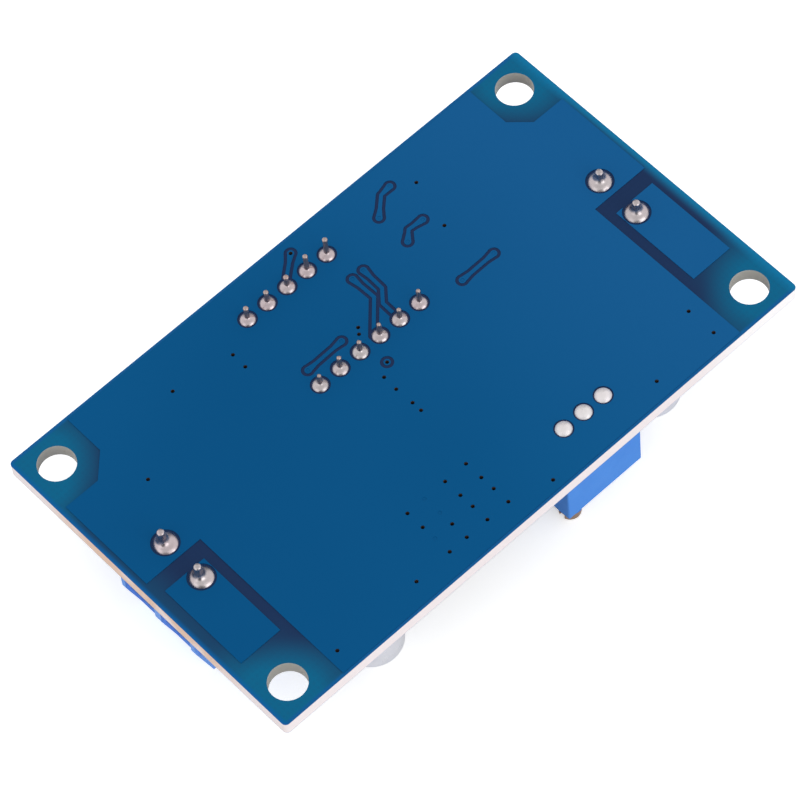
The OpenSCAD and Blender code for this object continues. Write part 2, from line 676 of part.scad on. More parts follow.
module diode_leads()
    color("silver") translate([diode_place[0], diode_place[1], seat])
        for (a = [0, 180]) rotate([0, 0, a]) diode_lead();

module diode_body()
    color([0.12, 0.12, 0.12]) translate([diode_place[0], diode_place[1], seat]) difference() {
        side_profile([[-2.1, 0.1], [2.1, 0.1], [2.3, 1.4], [2.1, 2.3], [-2.1, 2.3], [-2.3, 1.4]], 3.6);
        for (a = [0, 180]) rotate([0, 0, a]) diode_lead();
    }

// Shielded coil: base, two end terminals, a shield with cut corners, a drum and its winding
module coil_square(w, t, chamfer)
    linear_extrude(t) polygon([
        [chamfer - w / 2, -w / 2], [w / 2 - chamfer, -w / 2], [w / 2, chamfer - w / 2], [w / 2, w / 2 - chamfer],
        [w / 2 - chamfer, w / 2], [chamfer - w / 2, w / 2], [-w / 2, w / 2 - chamfer], [-w / 2, chamfer - w / 2]]);

coil_base_t = 0.8;
coil_well_d = coil_w * 0.76;
drum_d = coil_well_d - 0.5;
flange_t = 1.7;
post_d = drum_d * 0.45;

module coil_terminal()
    side_profile([[coil_w / 2 - 2.2, 0], [coil_w / 2, 0], [coil_w / 2, coil_base_t + 1.5],
        [coil_w / 2 - 0.2, coil_base_t + 1.5], [coil_w / 2 - 0.2, 0.2], [coil_w / 2 - 2.2, 0.2]], 5);

module coil_terminals()
    color("silver") translate([coil_x, coil_y, seat])
        for (a = [0, 180]) rotate([0, 0, a]) coil_terminal();

module coil_base()
    color([0.16, 0.16, 0.16]) translate([coil_x, coil_y, seat]) difference() {
        translate([0, 0, 0.1]) coil_square(coil_w - 0.1, coil_base_t - 0.1, 2.2);
        for (a = [0, 180]) rotate([0, 0, a]) coil_terminal();
    }

module coil_shield()
    color([0.17, 0.17, 0.18]) translate([coil_x, coil_y, seat]) difference() {
        translate([0, 0, coil_base_t]) coil_square(coil_w, coil_h - coil_base_t, 2.2);
        translate([0, 0, coil_base_t - cut]) cylinder(d = coil_well_d, h = coil_h, $fn = 96);
        for (a = [0, 180]) rotate([0, 0, a]) coil_terminal();
    }

module coil_drum()
    color([0.2, 0.2, 0.21]) translate([coil_x, coil_y, seat + coil_base_t]) {
        cylinder(d = drum_d, h = flange_t, $fn = 96);
        cylinder(d = post_d, h = coil_h - coil_base_t - 0.1, $fn = 64);
        translate([0, 0, coil_h - coil_base_t - 0.1 - flange_t]) cylinder(d = drum_d, h = flange_t, $fn = 96);
    }

module coil_winding()
    color([0.72, 0.38, 0.16]) translate([coil_x, coil_y, seat + coil_base_t + flange_t]) difference() {
        cylinder(d = drum_d - 0.6, h = coil_h - coil_base_t - 0.1 - 2 * flange_t, $fn = 96);
        translate([0, 0, -cut]) cylinder(d = post_d, h = coil_h, $fn = 64);
    }

// Capacitor: an aluminium can crimped near its foot, on a square base with two cut corners
capacitor_base_t = 1;
capacitor_lead_t = 0.15;

module capacitor_can(place)
    color([0.8, 0.8, 0.83]) translate([place[0], place[1], seat + capacitor_base_t])
        rotate_extrude($fn = 96) polygon([[0, 0], [can_d / 2 - 0.25, 0], [can_d / 2 - 0.05, 0.2],
            [can_d / 2, 0.5], [can_d / 2, 1.1], [can_d / 2 - 0.12, 1.25], [can_d / 2 - 0.3, 1.45],
            [can_d / 2 - 0.3, 1.65], [can_d / 2 - 0.12, 1.85], [can_d / 2, 2],
            [can_d / 2, can_h - capacitor_base_t - 0.45], [can_d / 2 - 0.06, can_h - capacitor_base_t - 0.22],
            [can_d / 2 - 0.22, can_h - capacitor_base_t - 0.06], [can_d / 2 - 0.45, can_h - capacitor_base_t],
            [0, can_h - capacitor_base_t]]);

module capacitor_lead()
    box(0.5, (can_d + can_base_over) / 2 + 0.7, -0.35, 0.35, 0, capacitor_lead_t);

module capacitor_base(place) {
    w = can_d + can_base_over;
    color([0.1, 0.1, 0.1]) translate([place[0], place[1], seat]) difference() {
        union() {
            linear_extrude(capacitor_base_t) polygon([[-w / 2, -w / 2], [w / 2 - 1.2, -w / 2],
                [w / 2, 1.2 - w / 2], [w / 2, w / 2 - 1.2], [w / 2 - 1.2, w / 2], [-w / 2, w / 2]]);
        }
        for (a = [0, 180]) rotate([0, 0, a]) capacitor_lead();
    }
}

module capacitor_leads(place)
    color("silver") translate([place[0], place[1], seat])
        for (a = [0, 180]) rotate([0, 0, a]) capacitor_lead();

// Small bent lead of a flat chip, running out along +x from the body's side
module gull_lead(reach, w, t, body_z)
    side_profile([[-0.2, body_z], [0.25, body_z], [reach * 0.4, 0], [reach, 0], [reach, t],
        [reach * 0.4 + 0.1, t], [0.35, body_z + t], [-0.2, body_z + t]], w);

// Controller: a thin chip with ten leads on each long side
controller_l = 6.5;
controller_w = 4.4;
controller_pitch = 0.65;

module at_controller_leads()
    for (a = [0, 180]) rotate([0, 0, a]) for (i = [0:9])
        translate([controller_w / 2, (i - 4.5) * controller_pitch, 0]) children();

module controller_leads()
    color("silver") translate([controller_place[0], controller_place[1], seat])
        at_controller_leads() gull_lead(1, 0.24, 0.14, 0.45);

module controller_body()
    color([0.1, 0.1, 0.1]) translate([controller_place[0], controller_place[1], seat]) difference() {
        rotate([0, 0, 90]) side_profile([[-controller_l / 2, 0.1], [controller_l / 2, 0.1],
            [controller_l / 2, 0.85], [controller_l / 2 - 0.15, 1.05], [0.15 - controller_l / 2, 1.05],
            [-controller_l / 2, 0.85]], controller_w);
        at_controller_leads() gull_lead(1, 0.24, 0.14, 0.45);
        translate([0.7 - controller_w / 2, controller_l / 2 - 0.9, 0.95]) cylinder(d = 0.7, h = 1, $fn = 24);
    }

// Supply chip of the meter: three leads on one side and a heat tab on the other
module supply_chip_metal() {
    for (i = [-1:1]) translate([0, i * 1.5, 0]) box(1, 2.2, -0.24, 0.24, 0, 0.4);
    box(-1.9, 0.2, -0.85, 0.85, 0, 0.4);
}

module supply_chip_leads()
    color("silver") translate([supply_place[0], supply_place[1], seat]) supply_chip_metal();

module supply_chip_body()
    color([0.1, 0.1, 0.1]) translate([supply_place[0], supply_place[1], seat]) difference() {
        side_profile([[-1.25, 0.05], [1.25, 0.05], [1.25, 1.2], [1.1, 1.5], [-1.1, 1.5], [-1.25, 1.2]], 4.5);
        supply_chip_metal();
    }

// Push button: a base with a snap dome in its well, a sheet cover with side feet, and the plunger
module button_base(place)
    color([0.13, 0.13, 0.13]) translate([place[0], place[1], seat]) difference() {
        box(-button_w / 2, button_w / 2, -button_w / 2, button_w / 2, 0, button_base_h);
        translate([0, 0, button_floor]) cylinder(d = dome_d + 0.3, h = button_base_h);
    }

module button_cover(place)
    color([0.78, 0.78, 0.78]) translate([place[0], place[1], seat]) {
        difference() {
            translate([-button_w / 2, -button_w / 2, button_base_h])
                cube([button_w, button_w, button_cover_t]);
            translate([0, 0, button_base_h - cut])
                cylinder(d = button_d + 0.16, h = button_cover_t + 2 * cut);
        }
        for (sx = [-1, 1], sy = [-1, 1]) translate([sx * button_w / 2, sy * 1.6, 0])
            box(min(0, sx * 0.2), max(0, sx * 0.2), -0.4, 0.4, 0, button_base_h + button_cover_t);
    }

plunger_base_z = button_base_h - 0.05 - plunger_flange_h;

module button_plunger(place)
    color([0.15, 0.15, 0.15]) translate([place[0], place[1], seat]) {
        translate([0, 0, plunger_base_z]) cylinder(d = plunger_flange_d, h = plunger_flange_h);
        translate([0, 0, plunger_base_z]) cylinder(d = button_d,
            h = plunger_flange_h + 0.05 + button_cover_t + button_proud);
        translate([0, 0, button_floor + dome_h + 0.02])
            cylinder(d = 0.9, h = plunger_base_z - button_floor - dome_h);
    }

module button_dome(place)
    color([0.75, 0.74, 0.7]) translate([place[0], place[1], seat + button_floor])
        rotate_extrude($fn = 64) polygon([[0, dome_h - dome_t], [0.6, dome_h - dome_t - 0.03],
            [1.2, dome_h - dome_t - 0.15], [dome_d / 2 - dome_t, 0], [dome_d / 2, 0],
            [1.25, dome_h - 0.13], [0.6, dome_h - 0.02], [0, dome_h]]);

// Small chips, each a place and a turn in degrees
near_left = display_l / 2 + 2;
near_right = display_l / 2 + 1.8;
beside_coil = coil_x + coil_w / 2 + 1.6;
resistor_places = [
    for (i = [0:2]) [-near_left - 0.8 - 2.4 * i, display_y + 3.5, 0],
    for (i = [0:2]) [-near_left - 0.4 - 1.6 * i, display_y + 6, 90],
    for (i = [0:2]) [-near_left - 0.4 - 1.6 * i, display_y + 8.6, 90],
    [supply_place[0] - 1.5, supply_place[1] + 3.9, 90], [supply_place[0] + 0.1, supply_place[1] + 3.9, 90],
    for (i = [0:3]) [near_right + 1.6 * i, display_y + 4.5, 90],
    for (i = [0:2]) [near_right + 0.2 + 2.8 * i, display_y - 4.7, 0],
    [near_right + 7.5, display_y + 3.4, 0],
    [beside_coil, coil_y - 2.2, 90], [beside_coil + 1.6, coil_y - 2.2, 90]];
capacitor_places = [[-near_left + 0.2, 1.2, 90], [-near_left + 0.2, 4.2, 90], [-near_left + 0.2, 7.2, 90],
    [near_right + 0.4, display_y - 6.3, 0], [near_right + 3.4, display_y - 6.3, 0],
    for (i = [0:2]) [beside_coil + 1.8 * i, coil_y + 1, 90]];
lamp_places = [[-near_left - 6.4, 0, 90], [-near_left - 6.4, display_y + 6.8, 90],
    [beside_coil + 3.3, coil_y - 2.2, 90]];

// Length, width and height of the chips, and the length of their end caps
resistor_size = [1.6, 0.8, 0.45];
capacitor_size = [2, 1.25, 0.85];
chip_cap_l = 0.3;

module chip(l, w, h) translate([0, 0, h / 2]) cube([l, w, h], center = true);

module at_chips(places)
    for (p = places) translate([p[0], p[1], seat]) rotate([0, 0, p[2]]) children();

module chip_middle(size) chip(size[0] - 2 * chip_cap_l, size[1] - 0.04, size[2] - 0.03);

module chip_ends(size)
    for (s = [-1, 1]) translate([s * (size[0] - chip_cap_l) / 2, 0, 0]) chip(chip_cap_l, size[1], size[2]);

module chip_resistors()
    color([0.14, 0.14, 0.15]) at_chips(resistor_places) chip_middle(resistor_size);

module chip_capacitors()
    color([0.62, 0.48, 0.34]) at_chips(capacitor_places) chip_middle(capacitor_size);

module chip_terminals()
    color("silver") {
        at_chips(resistor_places) chip_ends(resistor_size);
        at_chips(capacitor_places) chip_ends(capacitor_size);
    }

module indicator_lamps()
    color([0.9, 0.88, 0.8]) for (p = lamp_places)
        translate([p[0], p[1], seat]) rotate([0, 0, p[2]]) {
            chip(2, 1.2, 0.35);
            translate([0, 0, 0.35]) linear_extrude(0.4) square([1.2, 1.2], center = true);
        }

// Domed solder of height h on a pad, pointing to -z, with steps along a parabola
module solder_dome(d, h, steps)
    rotate_extrude($fn = 48) polygon(concat([[0, 0]],
        [for (i = [0:steps]) [d / 2 * (1 - i / steps), -h * (1 - pow(1 - i / steps, 2))]]));

// Film of solder over the end of a terminal block's pin, pointing to -z
module pin_end_film()
    rotate_extrude($fn = 48) polygon([[0, 0], [0.74, 0], [0.62, -block_solder_h], [0.52, -block_solder_h - 0.25],
        [0.48, -block_pin_tail], [0.36, -block_pin_tail - 0.15], [0.18, -block_pin_tail - 0.23],
        [0, -block_pin_tail - 0.25]]);

module block_solder()
    color([0.8, 0.79, 0.78]) difference() {
        at_block_pins() {
            solder_dome(block_solder_d, block_solder_h, 6);
            pin_end_film();
        }
        at_block_pins() box(-strip_t / 2, strip_t / 2, -block_pin_w / 2, block_pin_w / 2, -block_pin_tail, cut);
    }

module pin_solder()
    difference() {
        solder_dome(solder_d, solder_h, 6);
        translate([0, 0, -solder_h - cut]) cylinder(d = pin_d, h = solder_h + 2 * cut, $fn = 32);
    }

module display_solder()
    color([0.8, 0.79, 0.78]) at_display_pins() pin_solder();

module trimmer_solder()
    color([0.8, 0.79, 0.78]) at_trimmer_pins() difference() {
        solder_dome(solder_d, solder_h, 6);
        translate([0, 0, 0.2 - solder_h]) cylinder(d = pin_d, h = solder_h, $fn = 32);
    }

block_blue = [0.16, 0.35, 0.85];
clamp_metal = [0.75, 0.74, 0.7];
screw_metal = [0.8, 0.8, 0.8];

face_down() board();
face_down() solder_side_copper();
face_down() component_side_copper();
face_down() at_block(-1) color(block_blue) block_housing();  // input_block_housing
face_down() at_block(1) color(block_blue) block_housing();  // output_block_housing
face_down() color(clamp_metal) block_contacts(-1);  // input_block_contacts
face_down() color(clamp_metal) block_contacts(1);  // output_block_contacts
face_down() at_pole(-1, -1) color(screw_metal) block_screw();  // input_minus_screw
face_down() at_pole(-1, 1) color(screw_metal) block_screw();  // input_plus_screw
face_down() at_pole(1, -1) color(screw_metal) block_screw();  // output_minus_screw
face_down() at_pole(1, 1) color(screw_metal) block_screw();  // output_plus_screw
face_down() at_pole(-1, -1) color(clamp_metal) block_clamp();  // input_minus_clamp
face_down() at_pole(-1, 1) color(clamp_metal) block_clamp();  // input_plus_clamp
face_down() at_pole(1, -1) color(clamp_metal) block_clamp();  // output_minus_clamp
face_down() at_pole(1, 1) color(clamp_metal) block_clamp();  // output_plus_clamp
face_down() trimmer_housing();
face_down() trimmer_base_seal();
face_down() trimmer_pins();
face_down() trimmer_screw();
face_down() display_case();
face_down() display_segments();
face_down() display_back_seal();
face_down() display_pins();
face_down() regulator_body();
face_down() regulator_tab();
face_down() regulator_leads();
face_down() diode_body();
face_down() diode_leads();
face_down() coil_base();
face_down() coil_terminals();
face_down() coil_shield();
face_down() coil_drum();
face_down() coil_winding();
face_down() capacitor_can(input_can);  // input_capacitor_can
face_down() capacitor_base(input_can);  // input_capacitor_base
face_down() capacitor_leads(input_can);  // input_capacitor_leads
face_down() capacitor_can(output_can);  // output_capacitor_can
face_down() capacitor_base(output_can);  // output_capacitor_base
face_down() capacitor_leads(output_can);  // output_capacitor_leads
face_down() controller_body();
face_down() controller_leads();
face_down() supply_chip_body();
face_down() supply_chip_leads();
face_down() button_base(left_button);  // left_button_base
face_down() button_cover(left_button);  // left_button_cover
face_down() button_plunger(left_button);  // left_button_plunger
face_down() button_dome(left_button);  // left_button_dome
face_down() button_base(right_button);  // right_button_base
face_down() button_cover(right_button);  // right_button_cover
face_down() button_plunger(right_button);  // right_button_plunger
face_down() button_dome(right_button);  // right_button_dome
face_down() chip_resistors();
face_down() chip_capacitors();
face_down() chip_terminals();
face_down() indicator_lamps();
face_down() block_solder();
face_down() display_solder();
face_down() trimmer_solder();
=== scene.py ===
"""Dresses a step-down converter module that lies face down on a pale floor.

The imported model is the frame. Its nodes keep their places; edges are rounded on copies, and the
soldered joints, pins, cans and winding are new surfaces, each worked out as a whole array.
"""
from __future__ import annotations

import json
import logging
from dataclasses import dataclass, field
from enum import Enum
from math import pi, radians

import bmesh
import bpy
import numpy as np
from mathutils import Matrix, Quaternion, Vector

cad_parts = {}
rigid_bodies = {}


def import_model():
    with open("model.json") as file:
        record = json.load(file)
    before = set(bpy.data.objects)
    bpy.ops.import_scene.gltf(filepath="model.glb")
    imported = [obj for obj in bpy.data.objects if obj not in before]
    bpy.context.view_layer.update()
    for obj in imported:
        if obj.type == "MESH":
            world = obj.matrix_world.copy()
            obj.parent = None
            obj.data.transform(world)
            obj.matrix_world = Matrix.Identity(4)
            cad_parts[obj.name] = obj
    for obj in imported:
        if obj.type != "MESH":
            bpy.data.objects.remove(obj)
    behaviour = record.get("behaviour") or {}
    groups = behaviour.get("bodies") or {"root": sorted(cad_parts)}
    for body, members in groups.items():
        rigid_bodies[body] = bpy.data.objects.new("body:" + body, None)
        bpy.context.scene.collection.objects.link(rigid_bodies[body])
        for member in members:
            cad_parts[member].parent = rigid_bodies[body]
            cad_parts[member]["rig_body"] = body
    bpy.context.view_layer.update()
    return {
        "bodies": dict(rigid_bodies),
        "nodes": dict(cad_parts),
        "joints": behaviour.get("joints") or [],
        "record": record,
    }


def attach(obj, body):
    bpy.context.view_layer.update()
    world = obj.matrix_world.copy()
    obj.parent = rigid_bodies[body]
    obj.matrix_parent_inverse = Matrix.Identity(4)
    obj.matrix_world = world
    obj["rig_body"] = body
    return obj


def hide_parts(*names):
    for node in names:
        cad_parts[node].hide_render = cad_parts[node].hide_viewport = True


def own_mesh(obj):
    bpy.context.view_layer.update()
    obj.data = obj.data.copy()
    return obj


LOG = logging.getLogger("module")
MM = 0.001
STAND_H = 12.96  # height of the board's solder face over the lowest point, in mm
BOARD_T = 1.6  # thickness of the laminate, in mm
HALF_L, HALF_W = 32.6, 19.15  # half the board's length and width, in mm
HOLE_X, HOLE_Y, HOLE_R = 29.4, 15.95, 1.9  # middle and radius of a mounting hole, in mm
NEW_FOLD, COPY_FOLD = 40, 34  # degrees from which an edge stays sharp, on new meshes and on copies

Socket = bpy.types.NodeSocket
Colour = tuple[float, float, float]
Span = tuple[float, float]
Four = tuple[float, float, float, float]
Place = tuple[float, float, float]


def linear(red: int, green: int, blue: int) -> Colour:
    """Turns a screen colour into a linear one, ((c + 0.055) / 1.055) to the power 2.4.

    Args:
        red, green, blue: the colour's parts from 0 to 255.

    Returns:
        The linear colour.
    """
    parts = np.array([red, green, blue]) / 255
    low, high = parts / 12.92, ((parts + 0.055) / 1.055) ** 2.4
    return tuple(float(v) for v in np.where(parts <= 0.04045, low, high))


# ---------------- surfaces


@dataclass
class Shell:
    """Points and faces of one closed surface, in millimetres."""

    points: np.ndarray
    faces: list[list[int]]


def capped(rings: np.ndarray, ends: np.ndarray) -> Shell:
    """Joins rings of points by quads, and closes both ends with fans of triangles.

    The quads run from (i, j) over (i, j+1) and (i+1, j+1) to (i+1, j), where i counts the rings
    and j the points of a ring, whose last is followed by its first.

    Args:
        rings: the points, of shape (rows, steps, 3).
        ends: the middle of the first ring's fan, and of the last one's.

    Returns:
        The closed shell.
    """
    rows, steps = rings.shape[:2]
    around = np.arange(steps)
    after = (around + 1) % steps
    low = np.arange(rows - 1)[:, None] * steps
    high = low + steps
    quads = np.stack([low + around, low + after, high + after, high + around], 2)
    count, last = rows * steps, (rows - 1) * steps
    fans = np.stack([[around * 0 + count, after, around],
                     [around * 0 + count + 1, last + around, last + after]]).transpose(0, 2, 1)
    return Shell(np.concatenate([rings.reshape(-1, 3), ends]),
                 quads.reshape(-1, 4).tolist() + fans.reshape(-1, 3).tolist())


def lathe(radius: np.ndarray, height: np.ndarray, centre: Place, steps: int = 40) -> Shell:
    """Turns a profile about z and closes it with a point at each end.

    The point at (i, j) is centre + (r cos t, r sin t, z), with t = 2 pi j / steps, where r and z
    are the profile's at i, and may be different at each j.

    Args:
        radius, height: the profile from one end to the other, of shape (rows,) or (rows, steps).
        centre: foot of the axis.
        steps: points round the axis.

    Returns:
        The closed shell.
    """
    turn = 2 * pi * np.arange(steps) / steps
    r, z = (np.broadcast_to(v.reshape(len(v), -1), (len(v), steps)) for v in (radius, height))
    rings = np.stack([r * np.cos(turn), r * np.sin(turn), z], 2)
    ends = np.array([[0, 0, z[0].mean()], [0, 0, z[-1].mean()]])
    return capped(rings + centre, ends + centre)


def sweep(path: np.ndarray, radius: float, sides: int = 8) -> Shell:
    """Carries a circle along a path that lies round the z axis, and closes both ends.

    At each path point p, with tangent t, the circle is p + radius (cos a n - sin a b), where b is
    t x z made unit and n = b x t.

    Args:
        path: points of shape (n, 3).
        radius: the circle's radius.
        sides: points round it.

    Returns:
        The closed tube.
    """
    tangent = np.gradient(path, axis=0)
    tangent /= np.linalg.norm(tangent, axis=1, keepdims=True)
    b = np.cross(tangent, [0, 0, 1])
    b /= np.linalg.norm(b, axis=1, keepdims=True)
    n = np.cross(b, tangent)
    a = 2 * pi * np.arange(sides) / sides
    rings = path[:, None] + radius * (
        np.cos(a)[None, :, None] * n[:, None] - np.sin(a)[None, :, None] * b[:, None])
    return capped(rings, path[[0, -1]])


def mesh_of(name: str, shells: list[Shell]) -> bpy.types.Mesh:
    """Makes one mesh in metres of several shells, smooth but for its folds.

    Args:
        name: the mesh's name.
        shells: its surfaces.

    Returns:
        The mesh.
    """
    starts = np.cumsum([0] + [len(s.points) for s in shells])
    points = np.concatenate([s.points for s in shells]) * MM
    faces = [[v + int(start) for v in f] for s, start in zip(shells, starts) for f in s.faces]
    mesh = bpy.data.meshes.new(name)
    mesh.from_pydata(points.tolist(), [], faces)
    work = bmesh.new()
    work.from_mesh(mesh)
    bmesh.ops.recalc_face_normals(work, faces=work.faces)
    work.to_mesh(mesh)
    work.free()
    mesh.shade_smooth()
    mesh.set_sharp_from_angle(angle=radians(NEW_FOLD))
    return mesh


# ---------------- finishes


class Tree:
    """Lays out the nodes of one tree, and works on sockets as on numbers."""

    def __init__(self, tree: bpy.types.NodeTree) -> None:
        """Starts with the tree emptied."""
        self.tree = tree
        self.tree.nodes.clear()

    def put(self, target: Socket, value: Socket | float | Colour) -> None:
        """Links a socket to a target, or sets a plain value on it.

        Args:
            target: the input that gets it.
            value: a socket, a number, a colour or a point.
        """
        if isinstance(value, bpy.types.NodeSocket):
            self.tree.links.new(value, target)
        else:
            target.default_value = (*value, 1.0) if target.type == "RGBA" else value

    def add(self, kind: str, inputs: dict | None = None, **settings: object) -> bpy.types.Node:
        """Adds a node.

        Args:
            kind: the node's type.
            inputs: what goes into its inputs, by their names or numbers.
            settings: its other settings.

        Returns:
            The node.
        """
        node = self.tree.nodes.new(kind)
        for key, value in settings.items():
            setattr(node, key, value)
        for key, value in (inputs or {}).items():
            self.put(node.inputs[key], value)
        return node

    def sum(self, operation: str, *values: Socket | float, clamp: bool = False) -> Socket:
        """Works out one operation of the Math node on sockets or numbers."""
        return self.add("ShaderNodeMath", dict(enumerate(values)), operation=operation,
                        use_clamp=clamp).outputs["Value"]

    def total(self, *terms: tuple[Socket, float]) -> Socket:
        """Adds up two values, each times its share."""
        return self.sum("ADD", *(self.sum("MULTIPLY", *term) for term in terms))

    def length(self, a: Socket, b: Socket) -> Socket:
        """Works out the square root of a a + b b."""
        squares = [self.sum("MULTIPLY", v, v) for v in (a, b)]
        return self.sum("SQRT", self.sum("ADD", *squares))

    def split(self, vector: Socket) -> list[Socket]:
        """Gives the three parts of a vector."""
        node = self.add("ShaderNodeSeparateXYZ", {"Vector": vector})
        return [node.outputs[k] for k in "XYZ"]

    def spread(self, value: Socket, source: Span, target: Span) -> Socket:
        """Maps a span of a value onto another span by a smooth step, held at its ends."""
        keys = ("Value", "From Min", "From Max", "To Min", "To Max")
        return self.add("ShaderNodeMapRange", dict(zip(keys, (value, *source, *target))),
                        interpolation_type="SMOOTHSTEP").outputs["Result"]

    def over(self, distance: Socket, span_mm: Span, target: Span) -> Socket:
        """Maps a span of a distance, in mm, onto another span in the same way."""
        return self.spread(distance, (span_mm[0] * MM, span_mm[1] * MM), target)

    def blend(self, factor: Socket, first: Socket | Colour, second: Socket | Colour) -> Socket:
        """Mixes two colours by a factor."""
        return self.add("ShaderNodeMix", {"Factor": factor, "A": first, "B": second},
                        data_type="RGBA").outputs["Result"]

    def coat(self, colour: Socket | Colour, *coats: tuple[Socket, Socket | Colour]) -> Socket:
        """Lays colours over a first one.

        Args:
            colour: the first.
            coats: the factor and the colour of each next one.

        Returns:
            The last mixture.
        """
        for factor, upper in coats:
            colour = self.blend(factor, colour, upper)
        return colour


class Bench(Tree):
    """Lays out one material, from Object coordinates to the shader."""

    def __init__(self, name: str) -> None:
        """Starts a material with a shader and its output.

        Args:
            name: the material's name.
        """
        self.material = bpy.data.materials.new(name)
        self.material.use_nodes = True
        super().__init__(self.material.node_tree)
        self.shader = self.add("ShaderNodeBsdfPrincipled")
        self.add("ShaderNodeOutputMaterial", {"Surface": self.shader.outputs["BSDF"]})
        coordinate = self.add("ShaderNodeTexCoord")
        self.place, self.facing = (coordinate.outputs[k] for k in ("Object", "Normal"))

    def upright(self) -> Socket:
        """Gives 1 where the surface faces up or down, and 0 on a wall."""
        return self.sum("ABSOLUTE", self.split(self.facing)[2])

    def moved(self, offset_mm: Place) -> Socket:
        """Gives Object coordinates with their zero at a point."""
        return self.add("ShaderNodeMapping", {
            "Vector": self.place, "Location": [-v * MM for v in offset_mm]}).outputs["Vector"]

    def noise(self, size_mm: float, detail: float = 2, rough: float = 0.5) -> Socket:
        """Gives noise from 0 to 1 whose grains are about size_mm across."""
        return self.add("ShaderNodeTexNoise", {
            "Vector": self.place, "Scale": 1 / (size_mm * MM), "Detail": detail,
            "Roughness": rough}).outputs["Fac"]

    def wave(self, size_mm: float, axis: str, warp: float = 0, rings: bool = False,
             vector: Socket | None = None) -> Socket:
        """Gives a wave from 0 to 1, size_mm from crest to crest, as bands or as rings."""
        kind = "rings" if rings else "bands"
        return self.add("ShaderNodeTexWave", {
            "Vector": vector or self.place, "Scale": 0.314 / (size_mm * MM), "Distortion": warp},
            **{"wave_type": kind.upper(), f"{kind}_direction": axis}).outputs["Fac"]

    def settle(self, **values: Socket | float | Colour) -> bpy.types.Material:
        """Sets the shader's sockets.

        Args:
            values: what each gets, by its name with _ for a space.

        Returns:
            The material.
        """
        for key, value in values.items():
            self.put(self.shader.inputs[key.replace("_", " ")], value)
        return self.material


@dataclass(frozen=True)
class Finish:
    """A finish with a colour that shifts slowly to a second one, a fine grain and a sheen.

    The colour is first + noise (second - first), the roughness shine + noise dulling, and the
    relief is noise of the grain's size, depth_mm deep.
    """

    name: str
    first: Colour
    second: Colour
    shine: float = 0.45
    metal: float = 0.0
    patch_mm: float = 3.0
    grain_mm: float = 0.12
    depth_mm: float = 0.004
    specular: float = 0.5
    dulling: float = 0.12
    dull_grains: float = 6

    @property
    def label(self) -> str:
        """The material's name, unlike any that the frame brings."""
        return f"{self.name}_finish"

    def base(self, bench: Bench) -> Socket:
        """Gives the colour over the surface."""
        patches = bench.spread(bench.noise(self.patch_mm, 3), (0.3, 0.7), (0.0, 1.0))
        return bench.blend(patches, self.first, self.second)

    def height(self, bench: Bench) -> Socket:
        """Gives the height of the relief, from 0 to 1."""
        return bench.noise(self.grain_mm, 2)

    def make(self) -> bpy.types.Material:
        """Makes the material.

        Returns:
            The material.
        """
        bench = Bench(self.label)
        bump = bench.add("ShaderNodeBump", {"Distance": self.depth_mm * MM, "Strength": 1.0,
                                            "Height": self.height(bench)})
        rough = bench.spread(bench.noise(self.grain_mm * self.dull_grains, 3), (0.25, 0.75),
                             (self.shine, self.shine + self.dulling))
        return bench.settle(Base_Color=self.base(bench), Roughness=rough, Metallic=self.metal,
                            Specular_IOR_Level=self.specular, Normal=bump.outputs["Normal"])


@dataclass(frozen=True)
class CopperLacquer(Finish):
    """Blue lacquer over copper, paler towards one end by a painted sheen, with a faint orange peel.
    """

    edge: Colour = linear(4, 80, 131)
    # painted sheen: the paler blue towards the output end stands for light on the lacquer
    painted_sheen: Colour = linear(20, 91, 146)
    painted_sheen_x: Span = (-4, 30)
    cloud_mm: float = 34
    speckle_mm: float = 0.35
    speckle: float = 0.08
    wall_share: float = 0.6

    def base(self, bench: Bench) -> Socket:
        """Gives the colour: paler by a smooth step of x, a painted sheen, with a cloud, a speckle
        and dark walls.
        """
        full, grains = (0.0, 1.0), bench.noise(self.speckle_mm, 4, 0.7)
        return bench.coat(
            self.first,
            (bench.spread(bench.noise(self.cloud_mm, 1), (0.3, 0.7), full), self.second),
            # painted sheen, paler towards the output end
            (bench.over(bench.split(bench.place)[0], self.painted_sheen_x, full), self.painted_sheen),
            (bench.spread(grains, (0.35, 0.75), (0.0, self.speckle)), self.edge),
            (bench.spread(bench.upright(), (0.3, 0.8), (self.wall_share, 0.0)), self.edge))


